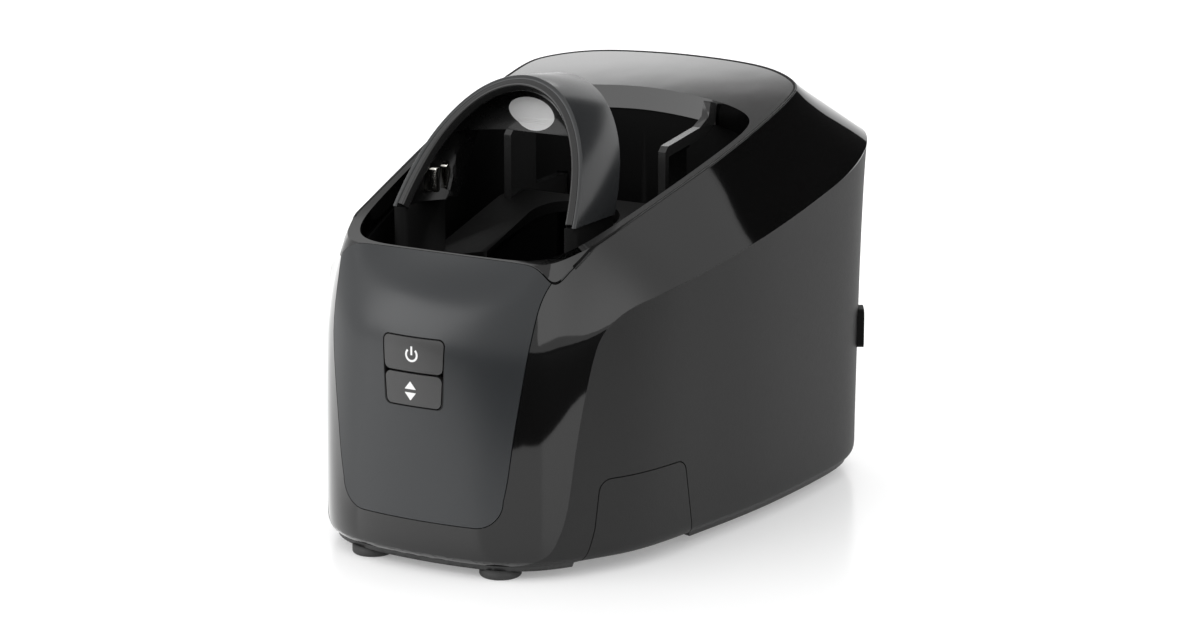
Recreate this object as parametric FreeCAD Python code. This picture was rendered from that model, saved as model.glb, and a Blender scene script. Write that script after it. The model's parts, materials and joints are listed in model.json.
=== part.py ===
import FreeCAD, Part
import math
import os

# Shaver cleaning station: a free-standing housing that lifts off a fluid chamber, with a
# motor-driven shaver holder that rises out of a well in the sloping top.
# Millimetres, +Z up, front towards -Y. Origin: middle of the footprint, on the table.

Vector = FreeCAD.Vector
UP = Vector(0, 0, 1)

# ---- driving dimensions --------------------------------------------------------------

# overall body
body_length = 221.0
body_width = 160.4
foot_height = 3.5
foot_diameter = 15.0
foot_spacing_front = 0.333 * body_width
foot_setback_front = 14.0
foot_spacing_rear = 0.574 * body_width
foot_setback_rear = 22.0
rim_lift = 1.2               # housing rim above the underside of the chamber
wall = 2.6
bottom_round = 6.0
side_draft = 1.0
rear_flare = 2.0             # how far the crease stands out beyond the side wall
waist_drop = 0.18            # share of the wall's height that the flare takes

# sloping top, crease along the sides and rolled front
top_height_front = 105.4
top_slope = 0.26
crease_height_front = 86.9
crease_slope = 0.19
roll_start_height = 80.0
roll_fullness = 0.66
waist_lean = 1.0             # how far the front corners have leant back at the waist, ...
crease_lean = 2.2            # ... at the crease
roll_lean = 4.6              # ... and half way up the roll
lean_reach = 0.25 * body_width         # from the middle, where the front stays upright
rear_rise = 4.0              # how far the crease turns up round the rear corners

# covers
part_gap = 0.3
cover_setback = 0.8
cover_thickness = 2.4
cover_depth = 9.0            # how far below the top plane the cover's front corners reach
skirt_height = 8.5
skirt_thickness = 1.8
panel_bottom_height = 19.4
panel_corner_radius = 10.0
panel_half_width_bottom = 0.2057 * body_width
panel_half_width_top = 0.2868 * body_width
panel_depth = 35.0           # how far back the panel's outline cuts the front of the skin

# buttons
button_top_height = 85.5
button_bottom_height = 60.3
button_split_height = 72.6
button_half_width_top = 12.9
button_half_width_bottom = 11.3
button_corner_radius = 2.6
button_gap = 0.4
button_travel = 0.8
button_post = 5.0
switch_size = 6.0
switch_body = 2.5
plunger_length = 1.2
plunger_radius = 1.5

# well and floor of the housing
well_wall = 2.0
well_ledge = 0.6
floor_height = 40.8
floor_thickness = 2.4
slot_clearance = 0.7
slot_setback = 0.656 * body_length
board_thickness = 1.6
board_setback = 13.4
board_half_width = 24.0
board_bottom = 46.0
board_top = 98.0
post_radius = 2.5

# shaver holder
rim_lean = 0.655             # forward run of the arch plane per unit of height
arch_setback = 0.2092 * body_length    # of that plane at the height of the hood's foot
hood_depth = 28.0
hood_wall = 1.6
hood_bottom_height = 119.0
rim_width = 2.9
rim_depth = 4.0
rim_groove = 0.3
rear_apex_drop = 3.0
leg_thickness = 3.6
leg_depth = 28.0
base_height_front = 79.2
base_slope = 0.26
base_thickness = 4.0
base_setback_front = 0.170 * body_length
base_setback_rear = 0.5655 * body_length
base_half_width = 0.2332 * body_width
neck_half_width = 0.1185 * body_width
neck_setback_rear = 0.543 * body_length
head_half_width = 0.1933 * body_width
head_setback = 0.276 * body_length
head_half_length = 0.0792 * body_length
holder_travel = 36.0
contact_length = 9.0
contact_width = 2.6
contact_height = 127.0
contact_reach = 5.2

# lift arms, carriage and drive
arm_offset = 0.2057 * body_width
arm_thickness = 3.0
arm_web = 1.8
arm_border = 4.0
arm_setback_front = 0.5271 * body_length
arm_top_height = 135.5
tongue_bottom = 100.0
tongue_height = 12.0
carriage_half_width = 0.2244 * body_width
carriage_setback = 0.7511 * body_length
carriage_depth = 16.0
nut_setback = 0.8484 * body_length
rod_offset = 0.1247 * body_width
rod_diameter = 5.0
rod_top_height = 138.0
bush_wall = 1.5
lobe_wall = 2.5
screw_diameter = 8.0
nut_diameter = 14.0
running_clearance = 0.08
journal_step = 1.5
gear_module = 1.2
gear_teeth = 32
pinion_teeth = 10
gear_thickness = 5.0
gear_lift = 2.5
bracket_thickness = 2.5
motor_diameter = 24.0
motor_length = 34.0
motor_bearing = 27.3         # degrees from +X to the motor, seen from the lead screw

# pump
pump_offset = -0.2868 * body_width
pump_setback = 0.8688 * body_length
pump_motor_diameter = 26.0
pump_motor_length = 32.0
pump_shaft_diameter = 3.0
impeller_diameter = 22.0
impeller_height = 8.0
impeller_floor_gap = 1.5
vane_count = 6

# fluid chamber
chamber_clearance = 0.8
chamber_wall = 2.2
chamber_floor = 2.5
chamber_cover_thickness = 2.5
basin_half_width = 0.2244 * body_width
basin_setback = 0.2986 * body_length
basin_half_length = 0.1448 * body_length
basin_floor = 4.5
channel_width = 16.0
channel_start = -0.1496 * body_width
sump_radius = 14.0
strainer_thickness = 1.4
strainer_height = 22.0
strainer_slots = 4
collar_wall = 2.0
collar_height = 6.0
collar_clearance = 0.8
spray_radius = 0.1496 * body_width
spray_thickness = 2.0

# release tabs
tab_height = 34.6
tab_gap = 0.4
tab_travel = 2.5
tab_corner_radius = 5.0
tab_heading = 71.5           # degrees from +X to the tab's long direction
tab_shift = 0.9              # along the wall from where it faces the tab's travel squarely
tab_inset = 1.8
tab_bulge = 3.2
pin_radius = 2.0
tab_pin_spacing = 22.0
tab_pin_height = 20.0
spring_radius = 3.0
spring_wire = 0.6
spring_turns = 5
spring_seat = 3.5            # depth of its hole in the pad behind the tab
spring_slack = 0.4

# power board
power_board_offset = 0.2993 * body_width
power_board_setback = 0.8416 * body_length
power_board_length = 36.0
power_board_top = 92.0
part_reach = 9.0
capacitor_radius = 5.0

# power inlet
inlet_height = 55.4
inlet_width = 12.0
inlet_tall = 15.0
inlet_proud = 2.2
inlet_depth = 14.0
inlet_heading = 30.4         # degrees from +X to the socket's outward direction
socket_width = 7.6
socket_tall = 10.4
socket_depth = 10.0
pin_spacing = 5.0
pin_diameter = 1.6
pin_length = 7.5

screw_head = 7.0
screw_shank = 3.2
screw_length = 14.0
boss_wall = 2.4
boss_offset = 0.3865 * body_width
boss_setback_front = 0.4163 * body_length
boss_setback_rear = 0.7964 * body_length

front = -body_length / 2
half_width = body_width / 2
bottom = foot_height + rim_lift

# Plan outline of the body and of the top cover, station by station from the middle of the
# front round to the middle of the rear: (share of half width, share of body length).
plan_shape = [
    (0.000, 0.000), (0.274, 0.007), (0.424, 0.022), (0.524, 0.043), (0.580, 0.062),
    (0.638, 0.089), (0.717, 0.138), (0.820, 0.214), (0.912, 0.359), (0.970, 0.490),
    (0.9975, 0.635), (1.000, 0.758), (0.969, 0.869), (0.858, 0.9425), (0.6415, 0.981),
    (0.313, 0.9955), (0.000, 1.000)]
cover_shape = [
    (0.000, 0.0928), (0.249, 0.0928), (0.390, 0.0920), (0.488, 0.0905), (0.549, 0.0950),
    (0.582, 0.1150), (0.608, 0.1450), (0.638, 0.206), (0.6895, 0.360), (0.731, 0.491),
    (0.751, 0.636), (0.740, 0.755), (0.685, 0.807), (0.566, 0.8380), (0.415, 0.858),
    (0.2005, 0.869), (0.000, 0.8720)]
# Where the roll meets the sloping top: as the cover, but well inside its front corners.
crown_shape = [
    (0.000, 0.0960), (0.235, 0.0960), (0.365, 0.0950), (0.450, 0.0955), (0.515, 0.1050),
    (0.563, 0.1280), (0.604, 0.1640), (0.636, 0.212)] + cover_shape[8:]
opening_shape = [
    (0.000, 0.1005), (0.229, 0.101), (0.3865, 0.1054), (0.480, 0.1213), (0.540, 0.154),
    (0.587, 0.218), (0.657, 0.391), (0.698, 0.534), (0.702, 0.624), (0.655, 0.663),
    (0.536, 0.693), (0.349, 0.716), (0.150, 0.730), (0.000, 0.734)]

# Side edge of the control panel: (share of the way from bottom to top half width, height).
panel_edge = [
    (0.120, 38.0), (0.230, 50.0), (0.375, 64.0), (0.510, 78.0), (0.600, 90.0),
    (0.655, 98.0), (0.715, 102.0), (0.800, 105.5), (0.890, 109.0)]

# Half outline of the holder's arch seen from the front: (share of half width, height).
arch_stations = [
    (0.000, 165.2), (0.118, 163.6), (0.230, 158.9), (0.328, 151.0), (0.400, 141.4),
    (0.445, 131.0), (0.469, 122.0), (0.484, 112.0)]
arch_shape = [(share * body_width / 2, height) for share, height in arch_stations]


# ---- helpers -------------------------------------------------------------------------

def setback(distance):
    """Y of a point that lies this far behind the front of the body."""
    return front + distance


def smooth_step(value, low, high):
    share = min(max((value - low) / (high - low), 0.0), 1.0)
    return share * share * (3 - 2 * share)


def unit(vector):
    return vector * (1 / vector.Length)


def from_shares(shape):
    """Half outline in millimetres from shares of the body's half width and length."""
    return [Vector(x * half_width, setback(y * body_length), 0) for x, y in shape]


def smooth_ring(shape, parameters):
    """Closed outline with many even stations on the curve through the given ones."""
    curve = ring_curve(both_halves(from_shares(shape)), parameters)
    step = parameters[-1] / ring_stations
    return [curve.value(step * index) for index in range(ring_stations)]


def both_halves(half):
    """Closed outline from the middle of the rear round the +X side to the front and back."""
    plus_side = list(reversed(half))
    minus_side = [Vector(-point.x, point.y, point.z) for point in half[1:-1]]
    return plus_side + minus_side


def ring_parameters(points):
    steps = [0.0]
    for start, end in zip(points, points[1:] + points[:1]):
        steps.append(steps[-1] + math.sqrt((end - start).Length))
    return steps


def ring_curve(points, parameters=None):
    curve = Part.BSplineCurve()
    curve.interpolate(Points=points, PeriodicFlag=True,
                      Parameters=parameters or ring_parameters(points))
    return curve


def ring_tangents(points, parameters):
    curve = ring_curve(points, parameters)
    return [curve.tangent(value)[0] for value in parameters[:-1]]


def outward(tangent):
    """Level direction away from the middle of an outline that runs clockwise from above."""
    return unit(UP.cross(tangent))


def grown(points, distance):
    """Closed outline moved outwards by a distance, or inwards if it is negative."""
    tangents = ring_tangents(points, ring_parameters(points))
    return [point + outward(tangent) * distance for point, tangent in zip(points, tangents)]


def prism(points, low, high):
    """Upright solid over a closed outline."""
    flat = [Vector(point.x, point.y, low) for point in points]
    wire = Part.Wire(ring_curve(flat).toShape())
    return Part.Face(wire).extrude(Vector(0, 0, high - low))


def box(low, high):
    size = Vector(*high) - Vector(*low)
    return Part.makeBox(size.x, size.y, size.z, Vector(*low))


def cylinder(radius, low, high, x=0.0, y=0.0):
    return Part.makeCylinder(radius, high - low, Vector(x, y, low))


def tube(outer, inner, low, high, x=0.0, y=0.0):
    return cylinder(outer, low, high, x, y).cut(cylinder(inner, low - 1, high + 1, x, y))


def oval(half_x, half_y, low, high, y=0.0):
    """Upright stadium-like oval solid centred on the symmetry plane."""
    if half_x >= half_y:
        edge = Part.Ellipse(Vector(0, y, low), half_x, half_y).toShape()
    else:
        edge = Part.Ellipse(Vector(0, y, low), half_y, half_x)
        edge.rotate(FreeCAD.Placement(Vector(0, 0, 0), UP, 90, Vector(0, y, low)))
        edge = edge.toShape()
    return Part.Face(Part.Wire(edge)).extrude(Vector(0, 0, high - low))


def rounded_polygon(points, radius, push):
    """Flat polygon with rounded corners, extruded along the push vector."""
    edges = []
    count = len(points)
    joints = []
    for index, corner in enumerate(points):
        before = unit(points[index - 1] - corner)
        after = unit(points[(index + 1) % count] - corner)
        half_angle = before.getAngle(after) / 2
        reach = radius / math.tan(half_angle)
        middle = unit(before + after) * (radius / math.sin(half_angle) - radius)
        joints.append((corner + before * reach, corner + middle, corner + after * reach))
    for index, (start, middle, end) in enumerate(joints):
        edges.append(Part.Arc(start, middle, end).toShape())
        edges.append(Part.makeLine(end, joints[(index + 1) % count][0]))
    return Part.Face(Part.Wire(edges)).extrude(push)


def side_profile(corners, half_x):
    """Solid from a side-view polygon of (y, z) corners, running from -half_x to +half_x."""
    wire = Part.makePolygon([Vector(-half_x, y, z) for y, z in corners + corners[:1]])
    return Part.Face(wire).extrude(Vector(2 * half_x, 0, 0))


def joined(shapes):
    return shapes[0].fuse(shapes[1:])


def mirrored(shape):
    return shape.mirror(Vector(0, 0, 0), Vector(1, 0, 0))


def biggest(shape):
    return max(shape.Solids, key=lambda solid: solid.Volume)


# ---- body envelope -------------------------------------------------------------------

ring_stations = 64
shape_parameters = ring_parameters(both_halves(from_shares(plan_shape)))
plan_ring = smooth_ring(plan_shape, shape_parameters)
cover_ring = smooth_ring(cover_shape, shape_parameters)
crown_ring = smooth_ring(crown_shape, shape_parameters)
opening = both_halves(from_shares(opening_shape))
envelope_parameters = [shape_parameters[-1] / ring_stations * index
                       for index in range(ring_stations + 1)]

crease_run = (0.06 * body_length, 0.21 * body_length)
lean_run = (0.09 * body_length, 0.28 * body_length)
flare_run = (0.14 * body_length, 0.50 * body_length)
rise_run = (0.74 * body_length, 0.97 * body_length)
tower_height = top_height_front + top_slope * body_length + 20


def top_height(y):
    return top_height_front + top_slope * (y - front)


def crease_height(y):
    line = crease_height_front + crease_slope * (y - front)
    share = smooth_step(y - front, *crease_run)
    rise = rear_rise * smooth_step(y - front, *rise_run)
    return roll_start_height + (line - roll_start_height) * share + rise


def flare_at(y):
    """How far the side wall stands back under the crease."""
    return rear_flare * smooth_step(y - front, *flare_run)


def wall_ring(inset):
    """Outline of the side wall's foot, moved inwards."""
    tangents = ring_tangents(plan_ring, envelope_parameters)
    return [point - outward(tangent) * (flare_at(point.y) + side_draft + inset)
            for point, tangent in zip(plan_ring, tangents)]


def mitre(first, second):
    return (first + second) * (1 / (1 + first.dot(second)))


def station_polygon(plan_point, crown_point, tangent):
    """Control points up one station of the body: wall foot, wall, crease, roll, crown."""
    out = outward(tangent)
    crease_z = crease_height(plan_point.y)
    flare = flare_at(plan_point.y)
    roll_share = 1 - smooth_step(plan_point.y - front, *crease_run)
    lean = 1 - smooth_step(plan_point.y - front, *lean_run)
    lean *= smooth_step(abs(plan_point.x), 0.0, lean_reach)
    foot = plan_point - out * (flare + side_draft) + UP * (bottom + bottom_round)
    waist_z = crease_z - waist_drop * (crease_z - bottom)
    waist = plan_point - out * (flare + waist_lean * lean) + UP * waist_z
    crease = plan_point - out * crease_lean * lean + UP * crease_z
    crown = crown_point + UP * top_height(crown_point.y)
    rolled_z = crease_z + roll_fullness * (crown.z - crease_z)
    rolled = plan_point - out * roll_lean * lean + UP * rolled_z
    straight = (crease + crown) * 0.5
    middle = rolled * roll_share + straight * (1 - roll_share)
    return out, [foot, waist, crease, middle, crown]


def inset_polygon(out, tangent, points, inset):
    """The same control points moved inwards by the wall thickness."""
    foot, waist, crease, middle, edge = points
    lower = unit(tangent.cross(middle - crease))
    lower = lower if lower.dot(out + UP) > 0 else lower * -1
    upper = unit(tangent.cross(edge - middle))
    upper = upper if upper.dot(out + UP) > 0 else upper * -1
    return [foot - out * inset, waist - out * inset, crease - mitre(out, lower) * inset,
            middle - mitre(lower, upper) * inset, edge - upper * inset]


def row_poles(points):
    curve = ring_curve(points, envelope_parameters)
    curve.setNotPeriodic()
    return curve


def skin_face(rows):
    """Face through closed rows of control points, of degree one less than their number."""
    curves = [row_poles(row) for row in rows]
    poles = [list(column) for column in zip(*[curve.getPoles() for curve in curves])]
    degree = len(rows) - 1
    surface = Part.BSplineSurface()
    surface.buildFromPolesMultsKnots(
        poles, curves[0].getMultiplicities(), [degree + 1, degree + 1],
        curves[0].getKnots(), [0.0, 1.0], False, False, curves[0].Degree, degree)
    return surface.toShape()


def envelope(inset):
    """Closed body shape up to the crown, with an upright tower on top of it."""
    tangents = ring_tangents(plan_ring, envelope_parameters)
    columns = []
    for plan_point, crown_point, tangent in zip(plan_ring, crown_ring, tangents):
        out, points = station_polygon(plan_point, crown_point, tangent)
        if inset:
            points = inset_polygon(out, tangent, points, inset)
        foot = points[0]
        ground = Vector(foot.x, foot.y, bottom if not inset else bottom - 1)
        if not inset:
            columns.append([ground - out * bottom_round, ground] + points)
        else:
            columns.append([ground] + points)
    rows = [list(row) for row in zip(*columns)]
    roof = [Vector(point.x, point.y, tower_height) for point in rows[-1]]
    base_rows = rows[:3] if not inset else rows[:2]
    foot_index = len(base_rows) - 1
    faces = [skin_face(base_rows), skin_face(rows[foot_index:foot_index + 3]),
             skin_face(rows[-3:]), skin_face([rows[-1], roof])]
    for outline in (rows[0], roof):
        faces.append(Part.Face(Part.Wire(ring_curve(outline, envelope_parameters).toShape())))
    shell = Part.makeShell(faces)
    shell.sewShape()
    solid = Part.makeSolid(shell)
    if solid.Volume < 0:
        solid.reverse()
    return solid


def under_top(drop):
    """Everything below the sloping top, lowered by a drop."""
    low_y = front - 30
    high_y = -front + 30
    corners = [(low_y, -10), (high_y, -10), (high_y, top_height(high_y) - drop),
               (low_y, top_height(low_y) - drop)]
    return side_profile(corners, body_width)


outer = envelope(0.0).common(under_top(0.1))
inner = envelope(wall).common(under_top(cover_thickness))
skin = outer.cut(inner)


# ---- outlines of the cuts in the skin ------------------------------------------------

def panel_prism(gap):
    """Front-view outline of the control panel pushed back through the front wall."""
    low_z = panel_bottom_height - gap
    bottom_half = panel_half_width_bottom + gap
    top_half = panel_half_width_top + gap
    top_z = top_height_front + 12
    radius = panel_corner_radius + gap
    y = front - 5

    def side(sign):
        stations = [(0.0, low_z + radius)] + panel_edge + [(1.0, top_z)]
        curve = Part.BSplineCurve()
        points = [Vector(sign * (bottom_half + share * (top_half - bottom_half)), y, z)
                  for share, z in stations]
        curve.interpolate(Points=points)
        return curve.toShape(), points[0], points[-1]

    right, right_low, right_high = side(1)
    left, left_low, left_high = side(-1)
    turn = radius * (1 - math.sqrt(0.5))
    right_foot = Vector(bottom_half - radius, y, low_z)
    left_foot = Vector(-bottom_half + radius, y, low_z)
    edges = [
        right, Part.makeLine(right_high, left_high), left,
        Part.Arc(left_low, Vector(-bottom_half + turn, y, low_z + turn), left_foot).toShape(),
        Part.makeLine(left_foot, right_foot),
        Part.Arc(right_foot, Vector(bottom_half - turn, y, low_z + turn), right_low).toShape()]
    wire = Part.Wire(Part.__sortEdges__(edges))
    return Part.Face(wire).extrude(Vector(0, panel_depth, 0))


def cover_prism(gap):
    """Plan outline of the top cover as an upright solid, down to a little below the top."""
    column = prism(grown(cover_ring, gap - cover_setback), roll_start_height, tower_height)
    return column.cut(under_top(cover_depth))


def button_prism(low_z, high_z, gap):
    """Front-view outline of the button field between two heights."""
    slope = ((button_half_width_top - button_half_width_bottom)
             / (button_top_height - button_bottom_height))

    def half_at(z):
        return button_half_width_bottom + slope * (z - button_bottom_height) - gap

    y = front - 5
    low_z += gap
    high_z -= gap
    corners = [Vector(-half_at(low_z), y, low_z), Vector(half_at(low_z), y, low_z),
               Vector(half_at(high_z), y, high_z), Vector(-half_at(high_z), y, high_z)]
    return rounded_polygon(corners, button_corner_radius - gap, Vector(0, 25, 0))


def widest_point(z, direction):
    """Point of the side wall's outline at a height that lies furthest in a level direction."""
    outline = ring_curve([Vector(p.x, p.y, z) for p in wall_ring(-side_draft / 2)]).toShape()
    far_point = Part.Vertex(direction * 10 * body_length + UP * z)
    return outline.distToShape(far_point)[1][0][0]


tab_turn = FreeCAD.Rotation(UP, tab_heading)
along_tab = tab_turn.multVec(Vector(1, 0, 0))
into_tab = tab_turn.multVec(Vector(0, 1, 0))
tab_point = widest_point(tab_pin_height, into_tab * -1) + along_tab * tab_shift + into_tab * tab_inset
tab_place = FreeCAD.Placement(Vector(tab_point.x, tab_point.y, 0), tab_turn)


def tab_prism(gap, reach):
    """Outline of the right release tab pushed inwards along its own travel."""
    start = -12.0
    top_z = tab_height - gap
    low_z = foot_height - 3
    flare = Part.Arc(Vector(-28.5 + gap, start, low_z), Vector(-24.4 + gap, start, 9.6),
                     Vector(-22.0 + gap, start, 17.0))
    front_top = Vector(-19.8 + gap, start, top_z)
    rear_top = Vector(20.4 - gap, start, top_z)
    rear_low = Vector(26.4 - gap, start, low_z)
    radius = tab_corner_radius - gap

    def corner(before, point, after):
        back = unit(before - point)
        ahead = unit(after - point)
        half_angle = back.getAngle(ahead) / 2
        length = radius / math.tan(half_angle)
        middle = unit(back + ahead) * (radius / math.sin(half_angle) - radius)
        return point + back * length, point + middle, point + ahead * length

    first = corner(flare.EndPoint, front_top, rear_top)
    second = corner(front_top, rear_top, rear_low)
    edges = [flare.toShape(), Part.makeLine(flare.EndPoint, first[0]),
             Part.Arc(*first).toShape(), Part.makeLine(first[2], second[0]),
             Part.Arc(*second).toShape(), Part.makeLine(second[2], rear_low),
             Part.makeLine(rear_low, flare.StartPoint)]
    solid = Part.Face(Part.Wire(edges)).extrude(Vector(0, reach - start, 0))
    solid.Placement = tab_place
    return solid


inlet_turn = FreeCAD.Rotation(UP, inlet_heading)
inlet_point = widest_point(inlet_height, inlet_turn.multVec(Vector(1, 0, 0)))
inlet_place = FreeCAD.Placement(inlet_point, inlet_turn)


def inlet_block(width, tall, low_x, high_x, radius):
    """Rounded upright block along the inlet's outward direction."""
    corners = [Vector(low_x, y, z) for y, z in (
        (-width / 2, -tall / 2), (width / 2, -tall / 2), (width / 2, tall / 2), (-width / 2, tall / 2))]
    solid = rounded_polygon(corners, radius, Vector(high_x - low_x, 0, 0))
    solid.Placement = inlet_place
    return solid


# ---- housing -------------------------------------------------------------------------

boss_spots = [(sign * boss_offset, setback(distance)) for sign in (1, -1)
              for distance in (boss_setback_front, boss_setback_rear)]
floor_top = floor_height + floor_thickness


def screw_bosses():
    """Posts under the bevel that take the screws driven up through the housing floor."""
    posts = []
    for x, y in boss_spots:
        post = cylinder(screw_shank / 2 + boss_wall, floor_top, tower_height, x, y)
        posts.append(post.common(outer))
    hollow = [cylinder(screw_shank / 2, floor_top - 1, floor_height + screw_length + 1, x, y)
              for x, y in boss_spots]
    return joined(posts).cut(hollow)


def main_housing():
    shell = skin.cut(panel_prism(part_gap)).cut(cover_prism(part_gap))
    shell = biggest(shell)
    bosses = screw_bosses().common(outer.cut(cover_prism(part_gap)))
    tab_hole = tab_prism(0.0, 12.0)
    shell = shell.cut([tab_hole, mirrored(tab_hole)])
    shell = shell.cut(inlet_block(inlet_width + 2 * part_gap, inlet_tall + 2 * part_gap,
                                  -inlet_depth, 10.0, 3.0))
    return joined([shell] + [biggest(boss) for boss in bosses.Solids])


def front_panel():
    field = button_prism(button_bottom_height, button_top_height, 0.0)
    panel = skin.common(panel_prism(0.0)).cut(cover_prism(part_gap)).cut(field)
    return biggest(panel)


def top_cover():
    plate = skin.common(cover_prism(0.0)).cut(prism(opening, 0, tower_height))
    band = side_profile([(front - 20, top_height(front - 20) - skirt_height),
                         (-front, top_height(-front) - skirt_height),
                         (-front, top_height(-front) - cover_thickness / 2),
                         (front - 20, top_height(front - 20) - cover_thickness / 2)], body_width)
    skirt = prism(grown(opening, skirt_thickness), roll_start_height, tower_height)
    edge = prism(grown(cover_ring, -cover_setback), roll_start_height, tower_height)
    skirt = skirt.cut(prism(opening, 0, tower_height)).common(band).common(edge)
    return biggest(joined([biggest(plate), biggest(skirt)]))


def inner_well():
    drop = skirt_height + part_gap
    outside = prism(grown(opening, well_wall - well_ledge), floor_height, tower_height)
    inside = prism(grown(opening, -well_ledge), floor_top, tower_height)
    well = outside.cut(inside).common(under_top(drop))
    hole_x = basin_half_width - collar_clearance + collar_wall
    hole = oval(hole_x + collar_clearance, basin_half_length + collar_wall, floor_height - 1,
                floor_top + 1, setback(basin_setback))
    slot_half = arm_thickness / 2 + slot_clearance
    slots = []
    for sign in (1, -1):
        slots.append(box((sign * arm_offset - slot_half, setback(slot_setback),
                          tongue_bottom - holder_travel - 2 * slot_clearance),
                         (sign * arm_offset + slot_half, setback(carriage_setback),
                          tongue_bottom + tongue_height + slot_clearance)))
    posts = []
    board_back = setback(board_setback + board_thickness)
    for x in (-board_half_width + 5, board_half_width - 5):
        for z in (board_bottom + 6, board_top - 8):
            reach = setback(opening_shape[0][1] * body_length) - board_back
            posts.append(Part.makeCylinder(post_radius, reach, Vector(x, board_back + 0.2, z),
                                           Vector(0, 1, 0)).cut(inside))
    return biggest(joined([biggest(well.cut([hole] + slots))] + posts))


def housing_floor():
    """Plate that closes the electronics space round the well."""
    plate = prism(wall_ring(wall + part_gap), floor_height, floor_top)
    plate = plate.cut(prism(grown(opening, well_wall - well_ledge + part_gap), 0, tower_height))
    plate = plate.cut(cylinder(pump_shaft_diameter, 0, tower_height, pump_offset, setback(pump_setback)))
    for x, y in boss_spots:
        plate = plate.cut(cylinder(screw_shank / 2 + running_clearance, 0, tower_height, x, y))
    for x in (rod_offset, -rod_offset):
        plate = plate.cut(cylinder(rod_diameter / 2, floor_height + 1, tower_height, x, rod_y))
    journal = screw_diameter / 2 - journal_step + running_clearance
    return biggest(plate.cut(cylinder(journal, floor_height + 1, tower_height, 0, drive_y)))


def housing_screws():
    """Four pan-head screws, driven up from under the housing floor."""
    screws = []
    for x, y in boss_spots:
        shank = cylinder(screw_shank / 2, floor_height, floor_height + screw_length, x, y)
        head = cylinder(screw_head / 2, floor_height - 0.25, floor_height, x, y)
        screws.append(joined([shank, head]))
    return Part.makeCompound(screws)


# ---- front controls ------------------------------------------------------------------

board_face = setback(board_setback)
switch_tip = board_face - switch_body - plunger_length
button_heights = {"power_button": (button_split_height, button_top_height),
                  "lift_button": (button_bottom_height, button_split_height)}


def button(name):
    low_z, high_z = button_heights[name]
    key = biggest(skin.common(button_prism(low_z, high_z, button_gap)))
    middle = (low_z + high_z) / 2
    half = button_post / 2
    post_end = switch_tip - button_travel - 0.1
    post = box((-half, setback(wall / 2), middle - half), (half, post_end, middle + half))
    return joined([key, post])


def control_board():
    board = box((-board_half_width, board_face, board_bottom),
                (board_half_width, setback(board_setback + board_thickness), board_top))
    connector = box((8, setback(board_setback - 4), board_bottom + 3), (20, board_face, board_bottom + 9))
    chip = box((-18, setback(board_setback - 1.4), board_bottom + 3), (-6, board_face, board_bottom + 11))
    return joined([board, connector, chip])


def button_switches():
    switches = []
    half = switch_size / 2
    for low_z, high_z in button_heights.values():
        middle = (low_z + high_z) / 2
        body = box((-half, board_face - switch_body, middle - half), (half, board_face, middle + half))
        plunger = Part.makeCylinder(plunger_radius, plunger_length + 0.5,
                                    Vector(0, switch_tip, middle), Vector(0, 1, 0))
        switches.append(joined([body, plunger]))
    return Part.makeCompound(switches)


# ---- power inlet ---------------------------------------------------------------------

def power_inlet():
    block = inlet_block(inlet_width, inlet_tall, -inlet_depth, inlet_proud, 3.0)
    socket = inlet_block(socket_width, socket_tall, inlet_proud - socket_depth, inlet_proud + 1, 2.0)
    return block.cut(socket)


def inlet_pins():
    pins = []
    for z in (-pin_spacing / 2, pin_spacing / 2):
        pin = Part.makeCylinder(pin_diameter / 2, pin_length, Vector(inlet_proud - socket_depth, 0, z),
                                Vector(1, 0, 0))
        pin.Placement = inlet_place
        pins.append(pin)
    return Part.makeCompound(pins)


def power_board():
    """Upright board beside the lift motor with a transformer, a capacitor and a choke."""
    middle = setback(power_board_setback)
    low = middle - power_board_length / 2
    board = box((power_board_offset, low, floor_top),
                (power_board_offset + board_thickness, low + power_board_length, power_board_top))
    step = power_board_length / 3
    storey = (power_board_top - floor_top) / 4
    transformer = box((power_board_offset - part_reach, low + 4, floor_top + storey * 0.7),
                      (power_board_offset, low + 4 + step, floor_top + storey * 1.9))
    capacitor = Part.makeCylinder(capacitor_radius, part_reach,
                                  Vector(power_board_offset, low + 2.2 * step, floor_top + storey * 1.4),
                                  Vector(-1, 0, 0))
    choke = box((power_board_offset - part_reach / 2, low + 0.7 * step, floor_top + storey * 2.4),
                (power_board_offset, low + 2.5 * step, floor_top + storey * 3.4))
    return joined([board, transformer, capacitor, choke])


# ---- shaver holder -------------------------------------------------------------------

def arch_half_width(z):
    """Half width of the arch's outline at a height, between its stations."""
    for (x_high, z_high), (x_low, z_low) in zip(arch_shape, arch_shape[1:]):
        if z_low <= z <= z_high:
            return x_low + (x_high - x_low) * (z - z_low) / (z_high - z_low)
    return arch_shape[-1][0]


def arch_plane_y(z):
    return setback(arch_setback + rim_lean * (z - hood_bottom_height))


def arch_wire(inset, run, drop):
    """Arch outline on a plane parallel to the leaning rim, closed along its foot."""
    foot_x, foot_z = arch_shape[-1]
    apex_z = arch_shape[0][1]
    half = [Vector(x, 0, z - drop * (z - foot_z) / (apex_z - foot_z)) for x, z in arch_shape]
    full = list(reversed(half)) + [Vector(-point.x, 0, point.z) for point in half[1:]]
    curve = Part.BSplineCurve()
    curve.interpolate(Points=full)
    placed = []
    for point in full:
        tangent = curve.tangent(curve.parameter(point))[0]
        inner_point = point + unit(tangent.cross(Vector(0, 1, 0))) * inset
        placed.append(Vector(inner_point.x, arch_plane_y(inner_point.z) + run, inner_point.z))
    arch = Part.BSplineCurve()
    arch.interpolate(Points=placed)
    return Part.Wire([arch.toShape(), Part.makeLine(placed[-1], placed[0])])


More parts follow.
